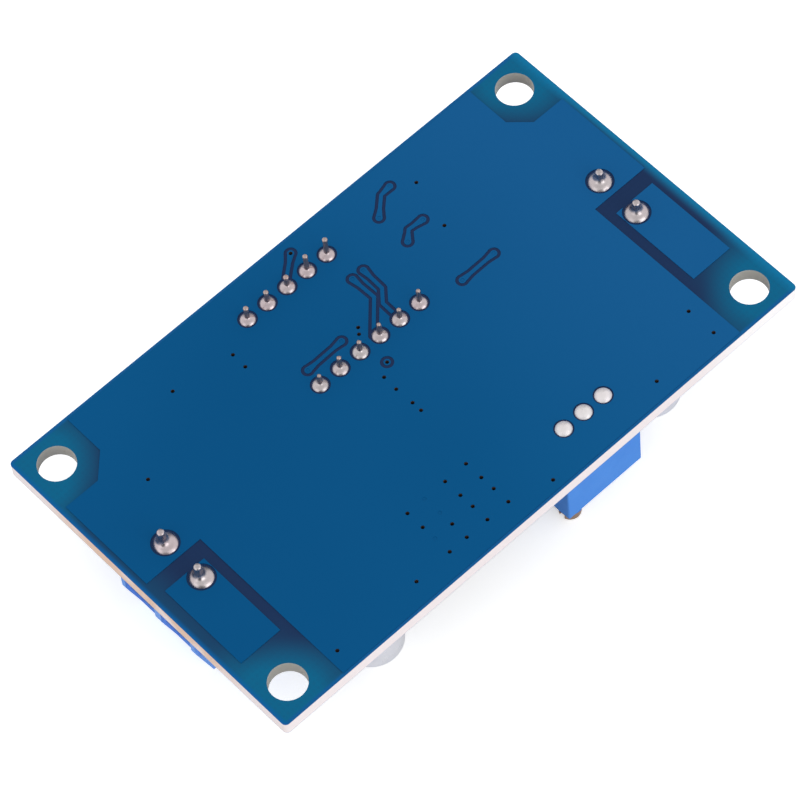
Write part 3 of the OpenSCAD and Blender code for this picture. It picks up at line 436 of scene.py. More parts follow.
@dataclass(frozen=True)
class Laminate(Finish):
    """Glass laminate with blue lacquer on both faces, bare on its edges and hole walls.

    On the faces, painted light in the corners, near the mounting holes and at the input end turns
    navy into a paler blue-green, as if light came through the laminate there, by the sum of
    smooth steps of the distance to the nearest end, L - |x|, to the nearest side, W - |y|, to the
    nearest mounting hole, |(|x|, |y|) - hole| - r, and to the input end, L + x. Each kind of edge
    has a narrow rim of its own colour, but the output end's rim is a painted highlight, and the
    narrow gaps along the tracks are darker. The glass cloth shows through as two crossed waves.
    The cut edge is ivory, with peach resin that is strongest at the very end and fades with |y|,
    and a painted highlight makes it paler towards the output end.

    The fields from glows on are spans in mm with their shares, and the sizes of the patterns.
    """

    # painted light: this paler colour stands for light in the corners, near the mounting holes and
    # at the input end
    painted_corner_light: Colour = linear(10, 99, 138)
    rim: Colour = linear(6, 94, 160)
    # painted highlight along the output end's rim
    painted_far_highlight: Colour = linear(14, 116, 162)
    side_rim: Colour = linear(14, 92, 150)
    inner: Colour = linear(34, 50, 86)
    ivory: Colour = linear(237, 229, 232)
    peach: Colour = linear(224, 190, 168)
    # painted highlight: the cut edge turns this near white towards the output end
    pale: Colour = (0.95, 0.94, 0.95)
    bore: Colour = linear(168, 166, 160)
    barrel: Colour = linear(92, 74, 62)
    glows: tuple[tuple[str, Span, float], ...] = (
        ("end", (0.5, 8.0), 0.55), ("side", (0.0, 7.0), 0.5), ("hole", (0.0, 3.0), 0.45),
        ("input", (0.0, 4.0), 0.3))
    # spans that keep the painted light to the corners
    corner_y: Span = (8, 13)
    corner_end: Span = (9, 12)
    gaps_end: Span = (12, 14)
    rims: tuple[Span, Span, Span] = ((0.2, 0.5), (0.0, 1.2), (0.0, 0.6))
    cloth_mm: Span = (0.52, 0.6)
    cloth: float = 0.1
    resin_mm: float = 4
    resin_end: Span = (0.1, 0.2)
    resin_y: Span = (8, 15)
    ply_mm: float = 0.2
    plies: float = 0.1
    painted_highlight_x: Span = (18, 28)
    skin: Span = (0.72, 0.78)
    outline: Span = (0.15, 0.4)

    def distances(self, bench: Bench) -> dict[str, Socket]:
        """Works out how far each point is from the board's ends, sides and holes.

        Args:
            bench: the material.

        Returns:
            Each distance by its name, with |y| as y, the one off the board's middle as layer, and
            the one to the outline or a hole's rim as cut.
        """
        x, y, z = bench.split(bench.place)
        wide, deep = bench.sum("ABSOLUTE", x), bench.sum("ABSOLUTE", y)
        layer = bench.sum("SUBTRACT", z, (STAND_H - BOARD_T / 2) * MM)
        at = {"x": x, "y": deep, "layer": bench.sum("ABSOLUTE", layer),
              "end": bench.sum("SUBTRACT", HALF_L * MM, wide),
              "side": bench.sum("SUBTRACT", HALF_W * MM, deep),
              "input": bench.sum("ADD", HALF_L * MM, x),
              "output": bench.sum("SUBTRACT", HALF_L * MM, x)}
        reach = bench.length(bench.sum("SUBTRACT", wide, HOLE_X * MM),
                             bench.sum("SUBTRACT", deep, HOLE_Y * MM))
        at["hole"] = bench.sum("SUBTRACT", reach, HOLE_R * MM)
        at["outline"] = bench.sum("MINIMUM", at["end"], at["side"])
        at["cut"] = bench.sum("MINIMUM", at["outline"], at["hole"])
        return at

    def face(self, bench: Bench, at: dict[str, Socket]) -> Socket:
        """Gives the colour of the lacquered faces, with painted light in the corners and a painted
        highlight.

        Args:
            bench: the material.
            at: the distances.

        Returns:
            The colour's socket.
        """
        end, side, hole, start = (bench.over(at[key], span, (share, 0.0))
                                  for key, span, share in self.glows)
        corner = bench.sum("MULTIPLY", bench.over(at["y"], self.corner_y, (0.0, 1.0)),
                           bench.over(at["end"], self.corner_end, (1.0, 0.0)))
        # painted light in the corners, near the mounting holes and at the input end
        lit = bench.sum("MULTIPLY", bench.sum("ADD", end, side), corner)
        lit = bench.sum("ADD", bench.sum("ADD", lit, hole), start, clamp=True)
        cloth = bench.sum("MULTIPLY", *(bench.wave(size, axis, 0.6)
                                        for size, axis in zip(self.cloth_mm, "XY")))
        # the output end's rim is a painted highlight
        rims = zip(("side", "output", "input"), self.rims,
                   (self.side_rim, self.painted_far_highlight, self.rim))
        return bench.coat(
            self.first, (lit, self.painted_corner_light),
            (bench.over(at["end"], self.gaps_end, (0.0, 1.0)), self.inner),
            *((bench.over(at[key], span, (1.0, 0.0)), colour) for key, span, colour in rims),
            (bench.sum("MULTIPLY", cloth, self.cloth), self.second))

    def wall(self, bench: Bench, at: dict[str, Socket]) -> Socket:
        """Gives the colour of the cut edge, with a painted highlight towards the output end, the
        bored holes and the plated barrels.

        Args:
            bench: the material.
            at: the distances.

        Returns:
            The colour's socket.
        """
        resin = bench.spread(bench.noise(self.resin_mm, 2), (0.3, 0.6), (0.3, 1.0))
        for key, span, share in (("input", self.resin_end, 0.25), ("y", self.resin_y, 0.1)):
            resin = bench.sum("MULTIPLY", resin, bench.over(at[key], span, (1.0, share)))
        plies = bench.sum("MULTIPLY", bench.wave(self.ply_mm, "Z", 1.5), self.plies)
        # the first layer is the painted highlight that makes the cut edge paler towards the output
        # end
        layers = (("x", self.painted_highlight_x, 0.8, self.pale), ("layer", self.skin, 0.6, self.side_rim),
                  ("outline", self.outline, 1.0, self.bore),
                  ("cut", self.outline, 1.0, self.barrel))
        return bench.coat(self.ivory, (resin, self.peach), (plies, self.peach),
                          *((bench.over(at[key], span, (0.0, share)), colour)
                            for key, span, share, colour in layers))

    def base(self, bench: Bench) -> Socket:
        """Gives the colour over faces, edges, hole walls and plated barrels."""
        at, flat = self.distances(bench), bench.spread(bench.upright(), (0.4, 0.6), (0.0, 1.0))
        return bench.blend(flat, self.wall(bench, at), self.face(bench, at))


@dataclass(frozen=True)
class TurnedBrass(Finish):
    """Brass with turning rings about a vertical axis, height = wave of the distance from it."""

    axis: Place = (0.0, 0.0, 0.0)
    ring_mm: float = 0.09
    ring_share: float = 0.6

    def height(self, bench: Bench) -> Socket:
        """Gives the height of the turning rings, with a little grain."""
        rings = bench.wave(self.ring_mm, "Z", 0.4, True, bench.moved(self.axis))
        return bench.total((rings, self.ring_share),
                           (bench.noise(self.grain_mm), 1 - self.ring_share))


@dataclass(frozen=True)
class CanSkin(Finish):
    """Drawn aluminium with a plain dark segment over one side of its end, as all such cans have.

    The segment lies where x - x0 is under about a third of the can's radius on the minus side, on
    the end only, and stops short of the rim. Its spans are shares of the radius.
    """

    first: Colour = (0.84, 0.84, 0.89)
    second: Colour = (0.79, 0.795, 0.85)
    shine: float = 0.26
    metal: float = 1.0
    patch_mm: float = 2
    axis: Place = (0.0, 0.0, 0.0)
    radius: float = 3.15
    mark: Colour = (0.01, 0.01, 0.012)
    mark_rim: Span = (0.84, 0.86)
    mark_side: Span = (-0.35, -0.33)
    line_mm: float = 0.11
    line_warp: float = 5.0
    break_mm: float = 0.3

    def base(self, bench: Bench) -> Socket:
        """Gives the colour of the skin with its segment.

        Args:
            bench: the material.

        Returns:
            The colour's socket.
        """
        x, y, _ = bench.split(bench.moved(self.axis))
        mask = bench.spread(bench.split(bench.facing)[2], (-0.9, -0.8), (1.0, 0.0))
        for value, (low, high) in ((bench.length(x, y), self.mark_rim), (x, self.mark_side)):
            span = (self.radius * low, self.radius * high)
            mask = bench.sum("MULTIPLY", mask, bench.over(value, span, (1.0, 0.0)))
        return bench.blend(mask, Finish.base(self, bench), self.mark)

    def height(self, bench: Bench) -> Socket:
        """Gives the height of the drawing lines, long in z and fine round the can."""
        return bench.sum("MULTIPLY", bench.wave(self.line_mm, "X", self.line_warp),
                         bench.noise(self.break_mm, 2))


@dataclass(frozen=True)
class Solder(Finish):
    """Satin solder: a cast surface with shallow dimples and a little frost."""

    dimples: Span = (0.7, 0.8)
    frost: Span = (0.08, 0.2)

    def height(self, bench: Bench) -> Socket:
        """Gives the sum of both, each noise of a size in mm times a share."""
        (wide, dimples), (fine, frost) = self.dimples, self.frost
        return bench.total((bench.noise(wide, 1), dimples), (bench.noise(fine, 2), frost))


class Part(Enum):
    """The finishes of the module, by what they cover."""

    COPPER = CopperLacquer("lacquer_over_copper", linear(3, 81, 132), linear(6, 86, 138), 0.3,
                           grain_mm=0.5, depth_mm=0.002, specular=0.04)
    LAMINATE = Laminate("lacquered_laminate", linear(28, 50, 87), linear(34, 60, 98), 0.3,
                        grain_mm=0.3, depth_mm=0.002, specular=0.05)
    SOLDER = Solder("solder", (0.58, 0.485, 0.505), (0.56, 0.51, 0.515), 0.26, 1.0, patch_mm=4,
                    depth_mm=0.005)
    DULL_SOLDER = Solder("dull_solder", (0.86, 0.80, 0.81), (0.82, 0.79, 0.79), 0.4, 0.5,
                         patch_mm=4, depth_mm=0.012)
    PIN = Finish("tinned_pin", (0.54, 0.41, 0.38), (0.50, 0.41, 0.38), 0.36, 1.0, 0.8, 0.1, 0.002)
    TIN = Finish("tinned_lead", (0.76, 0.73, 0.72), (0.66, 0.63, 0.62), 0.28, 1.0, 0.8, 0.1, 0.003)
    BLOCK = Finish("block_polyamide", linear(108, 157, 234), linear(118, 164, 238), 0.42,
                   patch_mm=5, specular=0.05)
    TRIMMER = Finish("trimmer_plastic", linear(84, 145, 226), linear(79, 139, 222), 0.42,
                     patch_mm=4, specular=0.02)
    TRIMMER_RESIN = Finish("trimmer_resin", linear(60, 110, 190), linear(72, 122, 200), 0.3,
                           patch_mm=1.5, grain_mm=0.6, depth_mm=0.02)
    SHELL = Finish("display_shell", linear(40, 41, 44), linear(48, 49, 52), 0.45)
    SEGMENT = Finish("display_segment", linear(228, 226, 214), linear(218, 216, 204), 0.35,
                     grain_mm=0.08, depth_mm=0.002)
    DISPLAY_RESIN = Finish("display_resin", linear(214, 210, 190), linear(200, 196, 176), 0.25,
                           grain_mm=0.9, depth_mm=0.03)
    MOULD = Finish("mould_compound", linear(34, 34, 36), linear(44, 44, 45), 0.52, grain_mm=0.06,
                   depth_mm=0.006)
    FERRITE = Finish("ferrite", linear(52, 52, 55), linear(66, 65, 66), 0.5, patch_mm=1.2,
                     grain_mm=0.09, depth_mm=0.012)
    ENAMEL = Finish("enamelled_copper", (0.62, 0.24, 0.09), (0.55, 0.19, 0.07), 0.25, 1.0, 1.0)
    STEEL = Finish("plated_steel", (0.63, 0.62, 0.60), (0.55, 0.545, 0.54), 0.26, 1.0, 1.5, 0.15,
                   0.003)
    TAB = Finish("plated_copper", (0.66, 0.65, 0.64), (0.57, 0.56, 0.56), 0.32, 1.0, 1.5, 0.12,
                 0.003)
    BRASS = TurnedBrass("turned_brass", (0.42, 0.29, 0.20), (0.36, 0.25, 0.18), 0.3, 1.0, 0.8, 0.1,
                        0.012, axis=(5.635, -15.765, 0))
    RESISTOR = Finish("resistor_glaze", linear(34, 34, 37), linear(44, 43, 45), 0.25, patch_mm=0.8)
    CERAMIC = Finish("ceramic", linear(168, 140, 112), linear(156, 126, 98), 0.4, patch_mm=0.8)
    LAMP = Finish("lamp_resin", linear(236, 230, 196), linear(226, 216, 176), 0.2, patch_mm=0.8)
    INPUT_CAN = CanSkin("input_can_skin", axis=(-18.1, -13.95, 0))
    OUTPUT_CAN = CanSkin("output_can_skin", axis=(18.65, -13.15, 0))

    @property
    def material(self) -> bpy.types.Material:
        """The finish's material, made at its first use."""
        return bpy.data.materials.get(self.value.label) or self.value.make()


# ---------------- building


@dataclass
class Workshop:
    """Puts finished pieces on their bodies and dresses the frame's own nodes."""

    frame: dict
    made: int = 0
    slots: dict[str, str] = field(default_factory=dict)
    weld_mm: float = 0.002
    flat_degrees: float = 0.5

    def __post_init__(self) -> None:
        """Reads which material slot each node has."""
        self.slots = {p["node"]: p["material_slot"] for p in self.frame["record"]["subparts"]}

    def dress(self, part: Part, *nodes: str) -> None:
        """Gives nodes of the frame a finish, where their own shape is right.

        Args:
            part: the finish.
            nodes: the nodes.
        """
        for name in nodes:
            slots = self.frame["nodes"][name].data.materials
            slots.clear()
            slots.append(part.material)
            LOG.info("%s wears %s", name, part.value.name)

    def place(self, mesh: bpy.types.Mesh, part: Part, *nodes: str) -> bpy.types.Object:
        """Makes a piece of a mesh, in place of nodes of one body.

        Args:
            mesh: the mesh, in metres in the shared frame.
            part: its finish.
            nodes: the nodes that it stands for, of which the first names its body.

        Returns:
            The piece.
        """
        piece = bpy.data.objects.new(mesh.name, mesh)
        bpy.context.scene.collection.objects.link(piece)
        mesh.materials.append(part.material)
        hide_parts(*nodes)
        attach(piece, self.frame["nodes"][nodes[0]]["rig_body"])
        self.made += 1
        LOG.info("%s made with %d faces", piece.name, len(mesh.polygons))
        return piece

    def copy(self, node: str) -> bpy.types.Mesh:
        """Copies a node's mesh with its loose triangles joined and flat areas made one face.

        Sharp outer edges get a bevel weight of 1, and inner ones none.

        Args:
            node: the node.

        Returns:
            The copy.
        """
        work = bmesh.new()
        work.from_mesh(self.frame["nodes"][node].data)
        bmesh.ops.remove_doubles(work, verts=work.verts, dist=self.weld_mm * MM)
        bmesh.ops.dissolve_limit(work, angle_limit=radians(self.flat_degrees), verts=work.verts,
                                 edges=work.edges)
        weight = work.edges.layers.float.new("bevel_weight_edge")
        for edge in work.edges:
            sharp = edge.calc_face_angle(0.0) > radians(COPY_FOLD)
            edge[weight] = float(edge.is_convex and sharp)
        mesh = bpy.data.meshes.new(node + "_shape")
        work.to_mesh(mesh)
        work.free()
        return mesh

    def soften(self, part: Part, width_mm: float, *nodes: str, rounds: int = 2) -> None:
        """Puts copies with rounded outer edges in place of nodes.

        Args:
            part: the finish.
            width_mm: how far a rounding reaches from each edge.
            nodes: the nodes.
            rounds: faces across a rounding.
        """
        for node in nodes:
            mesh = self.copy(node)
            mesh.shade_smooth()
            mesh.set_sharp_from_angle(angle=radians(COPY_FOLD))
            piece = self.place(mesh, part, node)
            bevel = piece.modifiers.new("rounding", "BEVEL")
            bevel.width = width_mm * MM
            bevel.segments = rounds
            bevel.limit_method = "WEIGHT"
            bevel.use_clamp_overlap = True


@dataclass
class Assembly:
    """A sub-assembly, with the workshop that makes its pieces."""

    shop: Workshop


@dataclass
class Board(Assembly):
    """The printed board with its copper on both sides."""

    def build(self) -> None:
        """Dresses the board and both layers of lacquered copper."""
        self.shop.dress(Part.LAMINATE, "board")
        self.shop.dress(Part.COPPER, "solder_side_copper", "component_side_copper")


@dataclass
class SolderJoints(Assembly):
    """Solder on the pins, each joint a little unlike the next.

    A row of the display is its y, the radius of its pins' beads, and each pin's place along it,
    in pitches, and end over the solder face. A blade is its end and side, and how far its tip
    leans and stands out. The seeds are those of the display's joints and pins, the covered
    joints and the blades.
    """

    pitch: float = 2.54
    rows: tuple[tuple[float, float, tuple[Span, ...]], ...] = (
        (14.98, 0.27, ((-2.5, 2.15), (-1.5, 2.1), (-0.5, 1.9), (0.5, 2.7), (1.5, 2.8))),
        (4.82, 0.24, ((-2.5, 1.85), (-1.5, 2.1), (-0.5, 1.95), (0.5, 2.15), (1.5, 1.85),
                      (2.5, 2.3))))
    trimmer_x: float = 8.95
    trimmer_y: float = -14.65
    block_x: float = 27.8
    block_y: float = 2.5
    blades: tuple[tuple[int, int, Place], ...] = (
        (-1, 1, (-0.17, 0.16, 2.3)), (-1, -1, (-0.14, 0.13, 2.25)),
        (1, 1, (0.0, 0.05, 1.75)), (1, -1, (0.0, 0.05, 1.85)))
    pin_r: float = 0.24
    foot_r: float = 0.81
    covered_r: float = 0.84
    covered_h: float = 0.5
    blade_r: float = 0.39
    blade_foot_r: float = 1.2
    pin_climb: float = 0.15
    blade_climb: float = 0.5
    steps: int = 64
    sunk: float = 0.06
    tuck: float = 0.98
    slopes: Span = (0.3, 0.42)
    lumps: Four = (0.015, 0.015, 0.05, 0.03)
    pin_root: Span = (-3.06, -0.5)
    bead_h: float = 0.5
    bead_gap: float = 0.05
    bead_sizes: Span = (0.94, 1.08)
    bead_tip_r: float = 0.02
    blade_end: float = 0.3
    blade_flare: float = 0.1
    blade_tip_r: float = 0.004
    seeds: tuple[int, int, int, int] = (40, 80, 60, 70)

    @property
    def display_pins(self) -> list[Four]:
        """Each display pin's x, y, end over the solder face and bead's radius."""
        return [(p * self.pitch, y, tip, bead_r) for y, bead_r, row in self.rows
                for p, tip in row]

    def lumpy(self, seed: int) -> tuple[np.ndarray, np.ndarray]:
        """Draws how a joint's outline and height differ round the pin.

        Both are 1 plus two waves, a1 cos(t - p1) + a2 cos(2 t - p2), of a few per cent.

        Args:
            seed: the joint's own number.

        Returns:
            The outline's and the height's share, at each step round.
        """
        draw = np.random.default_rng(seed)
        turn = 2 * pi * np.arange(self.steps) / self.steps
        size, phase = draw.uniform(0.2, 1.0, 4), draw.uniform(0, 2 * pi, 4)
        waves = [share * (a * np.cos(k * turn - p))
                 for share, a, k, p in zip(self.lumps, size, (1, 2, 1, 2), phase)]
        return 1 + waves[0] + waves[1], 1 + waves[2] + waves[3]

    def footed(self, r: np.ndarray, z: np.ndarray) -> tuple[np.ndarray, np.ndarray]:
        """Starts a profile with a ring a little narrower, sunk into the copper."""
        root = np.full_like(z[:1], -self.sunk)
        return np.concatenate([r[:1] * self.tuck, r]), np.concatenate([root, z])

    def skirt(self, foot: float, pin: float, climb: float, lean: Span,
              seed: int) -> tuple[np.ndarray, np.ndarray]:
        """Shapes solder that rises from its pad to a pin, steep at both and flatter between.

        With u from 1 at the foot to 0 at the pin, the height is
        (R - p)(s1 (1 - u^4) + s2 (1 - u) + climb (1 - u)^5), with the two slopes s. The radius
        runs from the foot's circle, seen from a pin that leans off its middle by c along d:
        -c.d + sqrt((c.d)^2 - |c|^2 + R^2), to the pin's own.

        Args:
            foot, pin: the radii.
            climb: how much of the height is drawn up close to the pin.
            lean: how far the pin is off the foot's middle.
            seed: the joint's own number.

        Returns:
            The radius and the height, of shape (rows, steps).
        """
        u = np.linspace(1, 0, 24)[:, None]
        outline, rise = self.lumpy(seed)
        turn = 2 * pi * np.arange(self.steps) / self.steps
        along = lean[0] * np.cos(turn) + lean[1] * np.sin(turn)
        rim = -along + np.sqrt(along ** 2 - lean[0] ** 2 - lean[1] ** 2 + (foot * outline) ** 2)
        r = pin + (rim - pin) * u
        foot_slope, slope = self.slopes
        z = (foot - pin) * (foot_slope * (1 - u ** 4) + slope * (1 - u) + climb * (1 - u) ** 5)
        return self.footed(r, z * (1 + (rise - 1) * (1 - (1 - u) ** 2)))

    def pin_joint(self, x: float, y: float, seed: int) -> Shell:
        """Shapes the solder round a pin that stands out of it."""
        r, z = self.skirt(self.foot_r, self.pin_r, self.pin_climb, (0.0, 0.0), seed)
        return lathe(r, z, (x, y, STAND_H), self.steps)

    def covered_joint(self, x: float, y: float, seed: int) -> Shell:
        """Shapes a low dome over a pin's end.

        With u from 1 at the foot to 0 at the middle, the radius is R u and the height
        H (1 - u^2)^0.8.

        Args:
            x, y: the pin's place.
            seed: the joint's own number.

        Returns:
            The joint's shell.
        """
        u = np.sin(np.linspace(pi / 2, 0.02, 20))[:, None]
        outline, rise = self.lumpy(seed)
        r, z = self.covered_r * u * outline, self.covered_h * (1 - u ** 2) ** 0.8 * rise
        return lathe(*self.footed(r, z), (x, y, STAND_H), self.steps)

    def blade_joint(self, x: float, y: float, lean: Place, seed: int) -> Shell:
        """Shapes the solder on a terminal's pin: a skirt, and a film over the pin's round end.

        Over the skirt the radius is b (1 + flare (1 - w)^2) with w from 0 to 1 up the pin, and
        the end is half an ellipse, with half axes of b and the end's height.

        Args:
            x, y: the middle of the joint's foot.
            lean: how far the pin's end is off the middle, and how high it stands.
            seed: the joint's own number.

        Returns:
            The joint's shell.
        """
        r, z = self.skirt(self.blade_foot_r, self.blade_r * (1 + self.blade_flare),
                          self.blade_climb, lean[:2], seed)
        w = np.linspace(0, 1, 12)[1:, None] * np.ones(self.steps)
        top = lean[2] - self.blade_end
        up_r = self.blade_r * (1 + self.blade_flare * (1 - w) ** 2)
        up_z = z[-1] + (top - z[-1]) * w
        a = np.linspace(0, pi / 2, 8)[1:, None] * np.ones(self.steps)
        end_r, end_z = self.blade_r * np.cos(a) + self.blade_tip_r, top + self.blade_end * np.sin(a)
        return lathe(np.concatenate([r, up_r, end_r]), np.concatenate([z, up_z, end_z]),
                     (x + lean[0], y + lean[1], STAND_H), self.steps)

    def pin(self, x: float, y: float, tip: float, bead_r: float, seed: int) -> Shell:
        """Shapes a pin with a bead of tin on its end.

        Over the bead's height, with v from 0 to 1, the radius is b sqrt(1 - (2 v - 1)^2), and in
        the first half of it never less than the pin's own.

        Args:
            x, y: the pin's place.
            tip: its end over the solder face.
            bead_r: the bead's radius.
            seed: the pin's own number.

        Returns:
            The pin's shell.
        """
        size = np.random.default_rng(seed).uniform(*self.bead_sizes)
        shaft = [*self.pin_root, tip - (self.bead_h + self.bead_gap)]
        bow = (1 + np.cos(np.linspace(0, pi, 15))) / 2
        level = np.concatenate([shaft, tip - self.bead_h * bow])
        along = np.clip((level - tip + self.bead_h) / self.bead_h, 0, 1)
        bead = np.sqrt(np.clip(1 - (2 * along - 1) ** 2, 0, 1)) * bead_r * size
        r = np.where(along < 0.5, np.maximum(self.pin_r, bead), bead)
        r[-1] = self.bead_tip_r
        return lathe(r, level, (x, y, STAND_H), 24)

    def build(self) -> None:
        """Makes the three sorts of joint and the display's pins."""
        joint, pin, covered, blade = self.seeds
        pins = list(enumerate(self.display_pins))
        for name, part, node, shells in (
                ("display_joints", Part.SOLDER, "display_solder",
                 [self.pin_joint(x, y, joint + i) for i, (x, y, *_) in pins]),
                ("display_pin_row", Part.PIN, "display_pins",
                 [self.pin(*place, pin + i) for i, place in pins]),
                ("trimmer_joints", Part.DULL_SOLDER, "trimmer_solder",
                 [self.covered_joint(self.trimmer_x + i * self.pitch, self.trimmer_y, covered + i)
                  for i in (-1, 0, 1)]),
                ("block_joints", Part.SOLDER, "block_solder",
                 [self.blade_joint(sx * self.block_x, sy * self.block_y, lean, blade + i)
                  for i, (sx, sy, lean) in enumerate(self.blades)])):
            self.shop.place(mesh_of(name, shells), part, node)


class End(Enum):
    """The module's two ends."""

    INPUT = "input"
    OUTPUT = "output"


@dataclass
class TerminalBlock(Assembly):
    """A two-pole screw terminal: housing, contacts, screws and clamps."""

    end: End
    housing_round: float = 0.14
    metal_round: float = 0.08
    blade_limit: float = 0.4

    def contacts(self) -> None:
        """Copies the contacts with their blade ends lowered into the solder.

        A point higher than blade_limit over the solder face comes down to it.
        """
        node = f"{self.end.value}_block_contacts"
        mesh = self.shop.copy(node)
        points = np.empty(len(mesh.vertices) * 3, np.float32)
        mesh.vertices.foreach_get("co", points)
        points = points.reshape(-1, 3)
        points[:, 2] = np.minimum(points[:, 2], (STAND_H + self.blade_limit) * MM)
        mesh.vertices.foreach_set("co", points.ravel())
        self.shop.place(mesh, Part.STEEL, node)

    def build(self) -> None:
        """Makes the block's pieces."""
        name = self.end.value
        self.shop.soften(Part.BLOCK, self.housing_round, f"{name}_block_housing")
        self.contacts()
        for pole in ("minus", "plus"):
            self.shop.soften(Part.STEEL, self.metal_round, f"{name}_{pole}_screw",
                             f"{name}_{pole}_clamp")


@dataclass
class Trimmer(Assembly):
    """The adjusting potentiometer with its screw."""

    case_round: float = 0.16
    screw_round: float = 0.09

    def build(self) -> None:
        """Makes the trimmer's pieces."""
        self.shop.soften(Part.TRIMMER, self.case_round, "trimmer_housing", rounds=3)
        self.shop.dress(Part.TRIMMER_RESIN, "trimmer_base_seal")
        self.shop.dress(Part.TIN, "trimmer_pins")
        self.shop.soften(Part.BRASS, self.screw_round, "trimmer_screw")


@dataclass
class Display(Assembly):
    """The three-digit display."""

    case_round: float = 0.12

    def build(self) -> None:
        """Makes the display's case and dresses what is cast into it."""
        self.shop.soften(Part.SHELL, self.case_round, "display_case")
        self.shop.dress(Part.SEGMENT, "display_segments")
        self.shop.dress(Part.DISPLAY_RESIN, "display_back_seal")


@dataclass
class Coil(Assembly):
    """The shielded coil, with its winding as real turns."""

    centre: Span = (8.6, -4.67)
    wire_r: float = 0.24
    outer_r: float = 4.1
    low: float = 5.42
    high: float = 8.78
    points_per_turn: int = 40
    loose: float = 1.01
    core_in: float = 0.06
    core_gap: float = 0.02
    shield_round: float = 0.15
    drum_round: float = 0.1
    base_round: float = 0.06
    terminal_round: float = 0.04

    def turns(self) -> list[Shell]:
        """Winds the outer layer as a helix, and fills the inside with a ring.

        The helix is (R cos t, R sin t, z0 + pitch t / 2 pi), its pitch a little over the wire's
        width.

        Returns:
            The helix and the ring.
        """
        pitch = 2 * self.wire_r * self.loose
        count = (self.high - self.low) / pitch - 1
        t = np.linspace(0, 2 * pi * count, int(self.points_per_turn * count))
        r = self.outer_r - self.wire_r
        z = self.low + self.wire_r + pitch * t / (2 * pi)
        path = np.stack([self.centre[0] + r * np.cos(t), self.centre[1] + r * np.sin(t), z], 1)
        core = lathe(np.full(2, r - self.core_in),
                     np.array([self.low + self.core_gap, self.high - self.core_gap]),
                     (*self.centre, 0))
        return [sweep(path, self.wire_r), core]

    def build(self) -> None:
        """Makes the coil's pieces."""
        self.shop.place(mesh_of("coil_turns", self.turns()), Part.ENAMEL, "coil_winding")
        self.shop.soften(Part.FERRITE, self.shield_round, "coil_shield")
        self.shop.soften(Part.FERRITE, self.drum_round, "coil_drum")
        self.shop.soften(Part.MOULD, self.base_round, "coil_base")
        self.shop.soften(Part.TIN, self.terminal_round, "coil_terminals")


@dataclass
class Capacitor(Assembly):
    """An aluminium can on its base, with its crimp as a height, a width and a depth.

    Its finish holds its axis and radius, which its dark segment needs as well.
    """

    end: End
    part: Part
    top: float = 10.3
    bottom: float = 3.3
    foot_in: float = 0.3
    foot_h: float = 0.5
    crimp: Place = (1.55, 0.24, 0.3)
    rim_r: float = 0.4
    crimped: Span = (0.6, 2.4)
    wall_share: float = 0.6
    shoulder: float = 0.6
    steps: int = 96
    base_round: float = 0.08

    def skin(self) -> Shell:
        """Turns the can's outline, with a crimp near its foot and a rounded rim.

        With h the distance from the foot, the radius is R - depth exp(-((h - height) / width)^2),
        with the crimp's three sizes, the foot's corner is a quarter ellipse, and the end's one a
        quarter circle.

        Returns:
            The can.
        """
        height = self.top - self.bottom
        foot, rim = np.linspace(0, pi / 2, 7), np.linspace(0, pi / 2, 9)
        middle, width, depth = self.crimp
        h = np.concatenate([self.foot_h * (1 - np.cos(foot)), np.linspace(*self.crimped, 22),
                            [height * self.wall_share, height - self.shoulder],
                            height - self.rim_r * (1 - np.sin(rim))])
        skin = self.part.value
        r = skin.radius - depth * np.exp(-((h - middle) / width) ** 2)
        r[:len(foot)] -= self.foot_in * (1 - np.sin(foot))
        r[-len(rim):] -= self.rim_r * (1 - np.cos(rim))
        return lathe(r[::-1], (self.top - h)[::-1], skin.axis, self.steps)

    def build(self) -> None:
        """Makes the capacitor's pieces."""
        name = self.end.value
        self.shop.place(mesh_of(f"{name}_can", [self.skin()]), self.part, f"{name}_capacitor_can")
        self.shop.soften(Part.MOULD, self.base_round, f"{name}_capacitor_base")
        self.shop.dress(Part.TIN, f"{name}_capacitor_leads")


@dataclass
class PowerParts(Assembly):
    """The regulator and the freewheel diode."""

    body_round: float = 0.12
    diode_round: float = 0.1
    metal_round: float = 0.05

    def build(self) -> None:
        """Makes their pieces."""
        self.shop.soften(Part.MOULD, self.body_round, "regulator_body")
        self.shop.soften(Part.TAB, self.metal_round, "regulator_tab")
        self.shop.soften(Part.TIN, self.metal_round, "regulator_leads", "diode_leads")
        self.shop.soften(Part.MOULD, self.diode_round, "diode_body")


@dataclass
class MeterParts(Assembly):
    """The meter's chips, push buttons, lamps and small parts."""

    buttons: tuple[tuple[str, Span], ...] = (("left", (-16.7, 11.6)), ("right", (22.9, 10.4)))
    dome_z: float = 11.0
    dome_kept: float = 0.28
    chip_round: float = 0.04
    base_round: float = 0.06
    cover_round: float = 0.03
    plunger_round: float = 0.08

    def build(self) -> None:
        """Makes their pieces, each snap dome as a copy with a mesh of its own."""
        self.shop.soften(Part.MOULD, self.chip_round, "controller_body", "supply_chip_body")
        self.shop.dress(Part.TIN, "controller_leads", "supply_chip_leads", "chip_terminals")
        for side, (x, y) in self.buttons:
            self.shop.soften(Part.MOULD, self.base_round, f"{side}_button_base")
            self.shop.soften(Part.STEEL, self.cover_round, f"{side}_button_cover")
            self.shop.soften(Part.SHELL, self.plunger_round, f"{side}_button_plunger")
            node = f"{side}_button_dome"
            dome = self.shop.place(self.shop.copy(node), Part.STEEL, node)
            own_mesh(dome)
        self.shop.dress(Part.RESISTOR, "chip_resistors")
        self.shop.dress(Part.CERAMIC, "chip_capacitors")
        self.shop.dress(Part.LAMP, "indicator_lamps")


# ---------------- studio


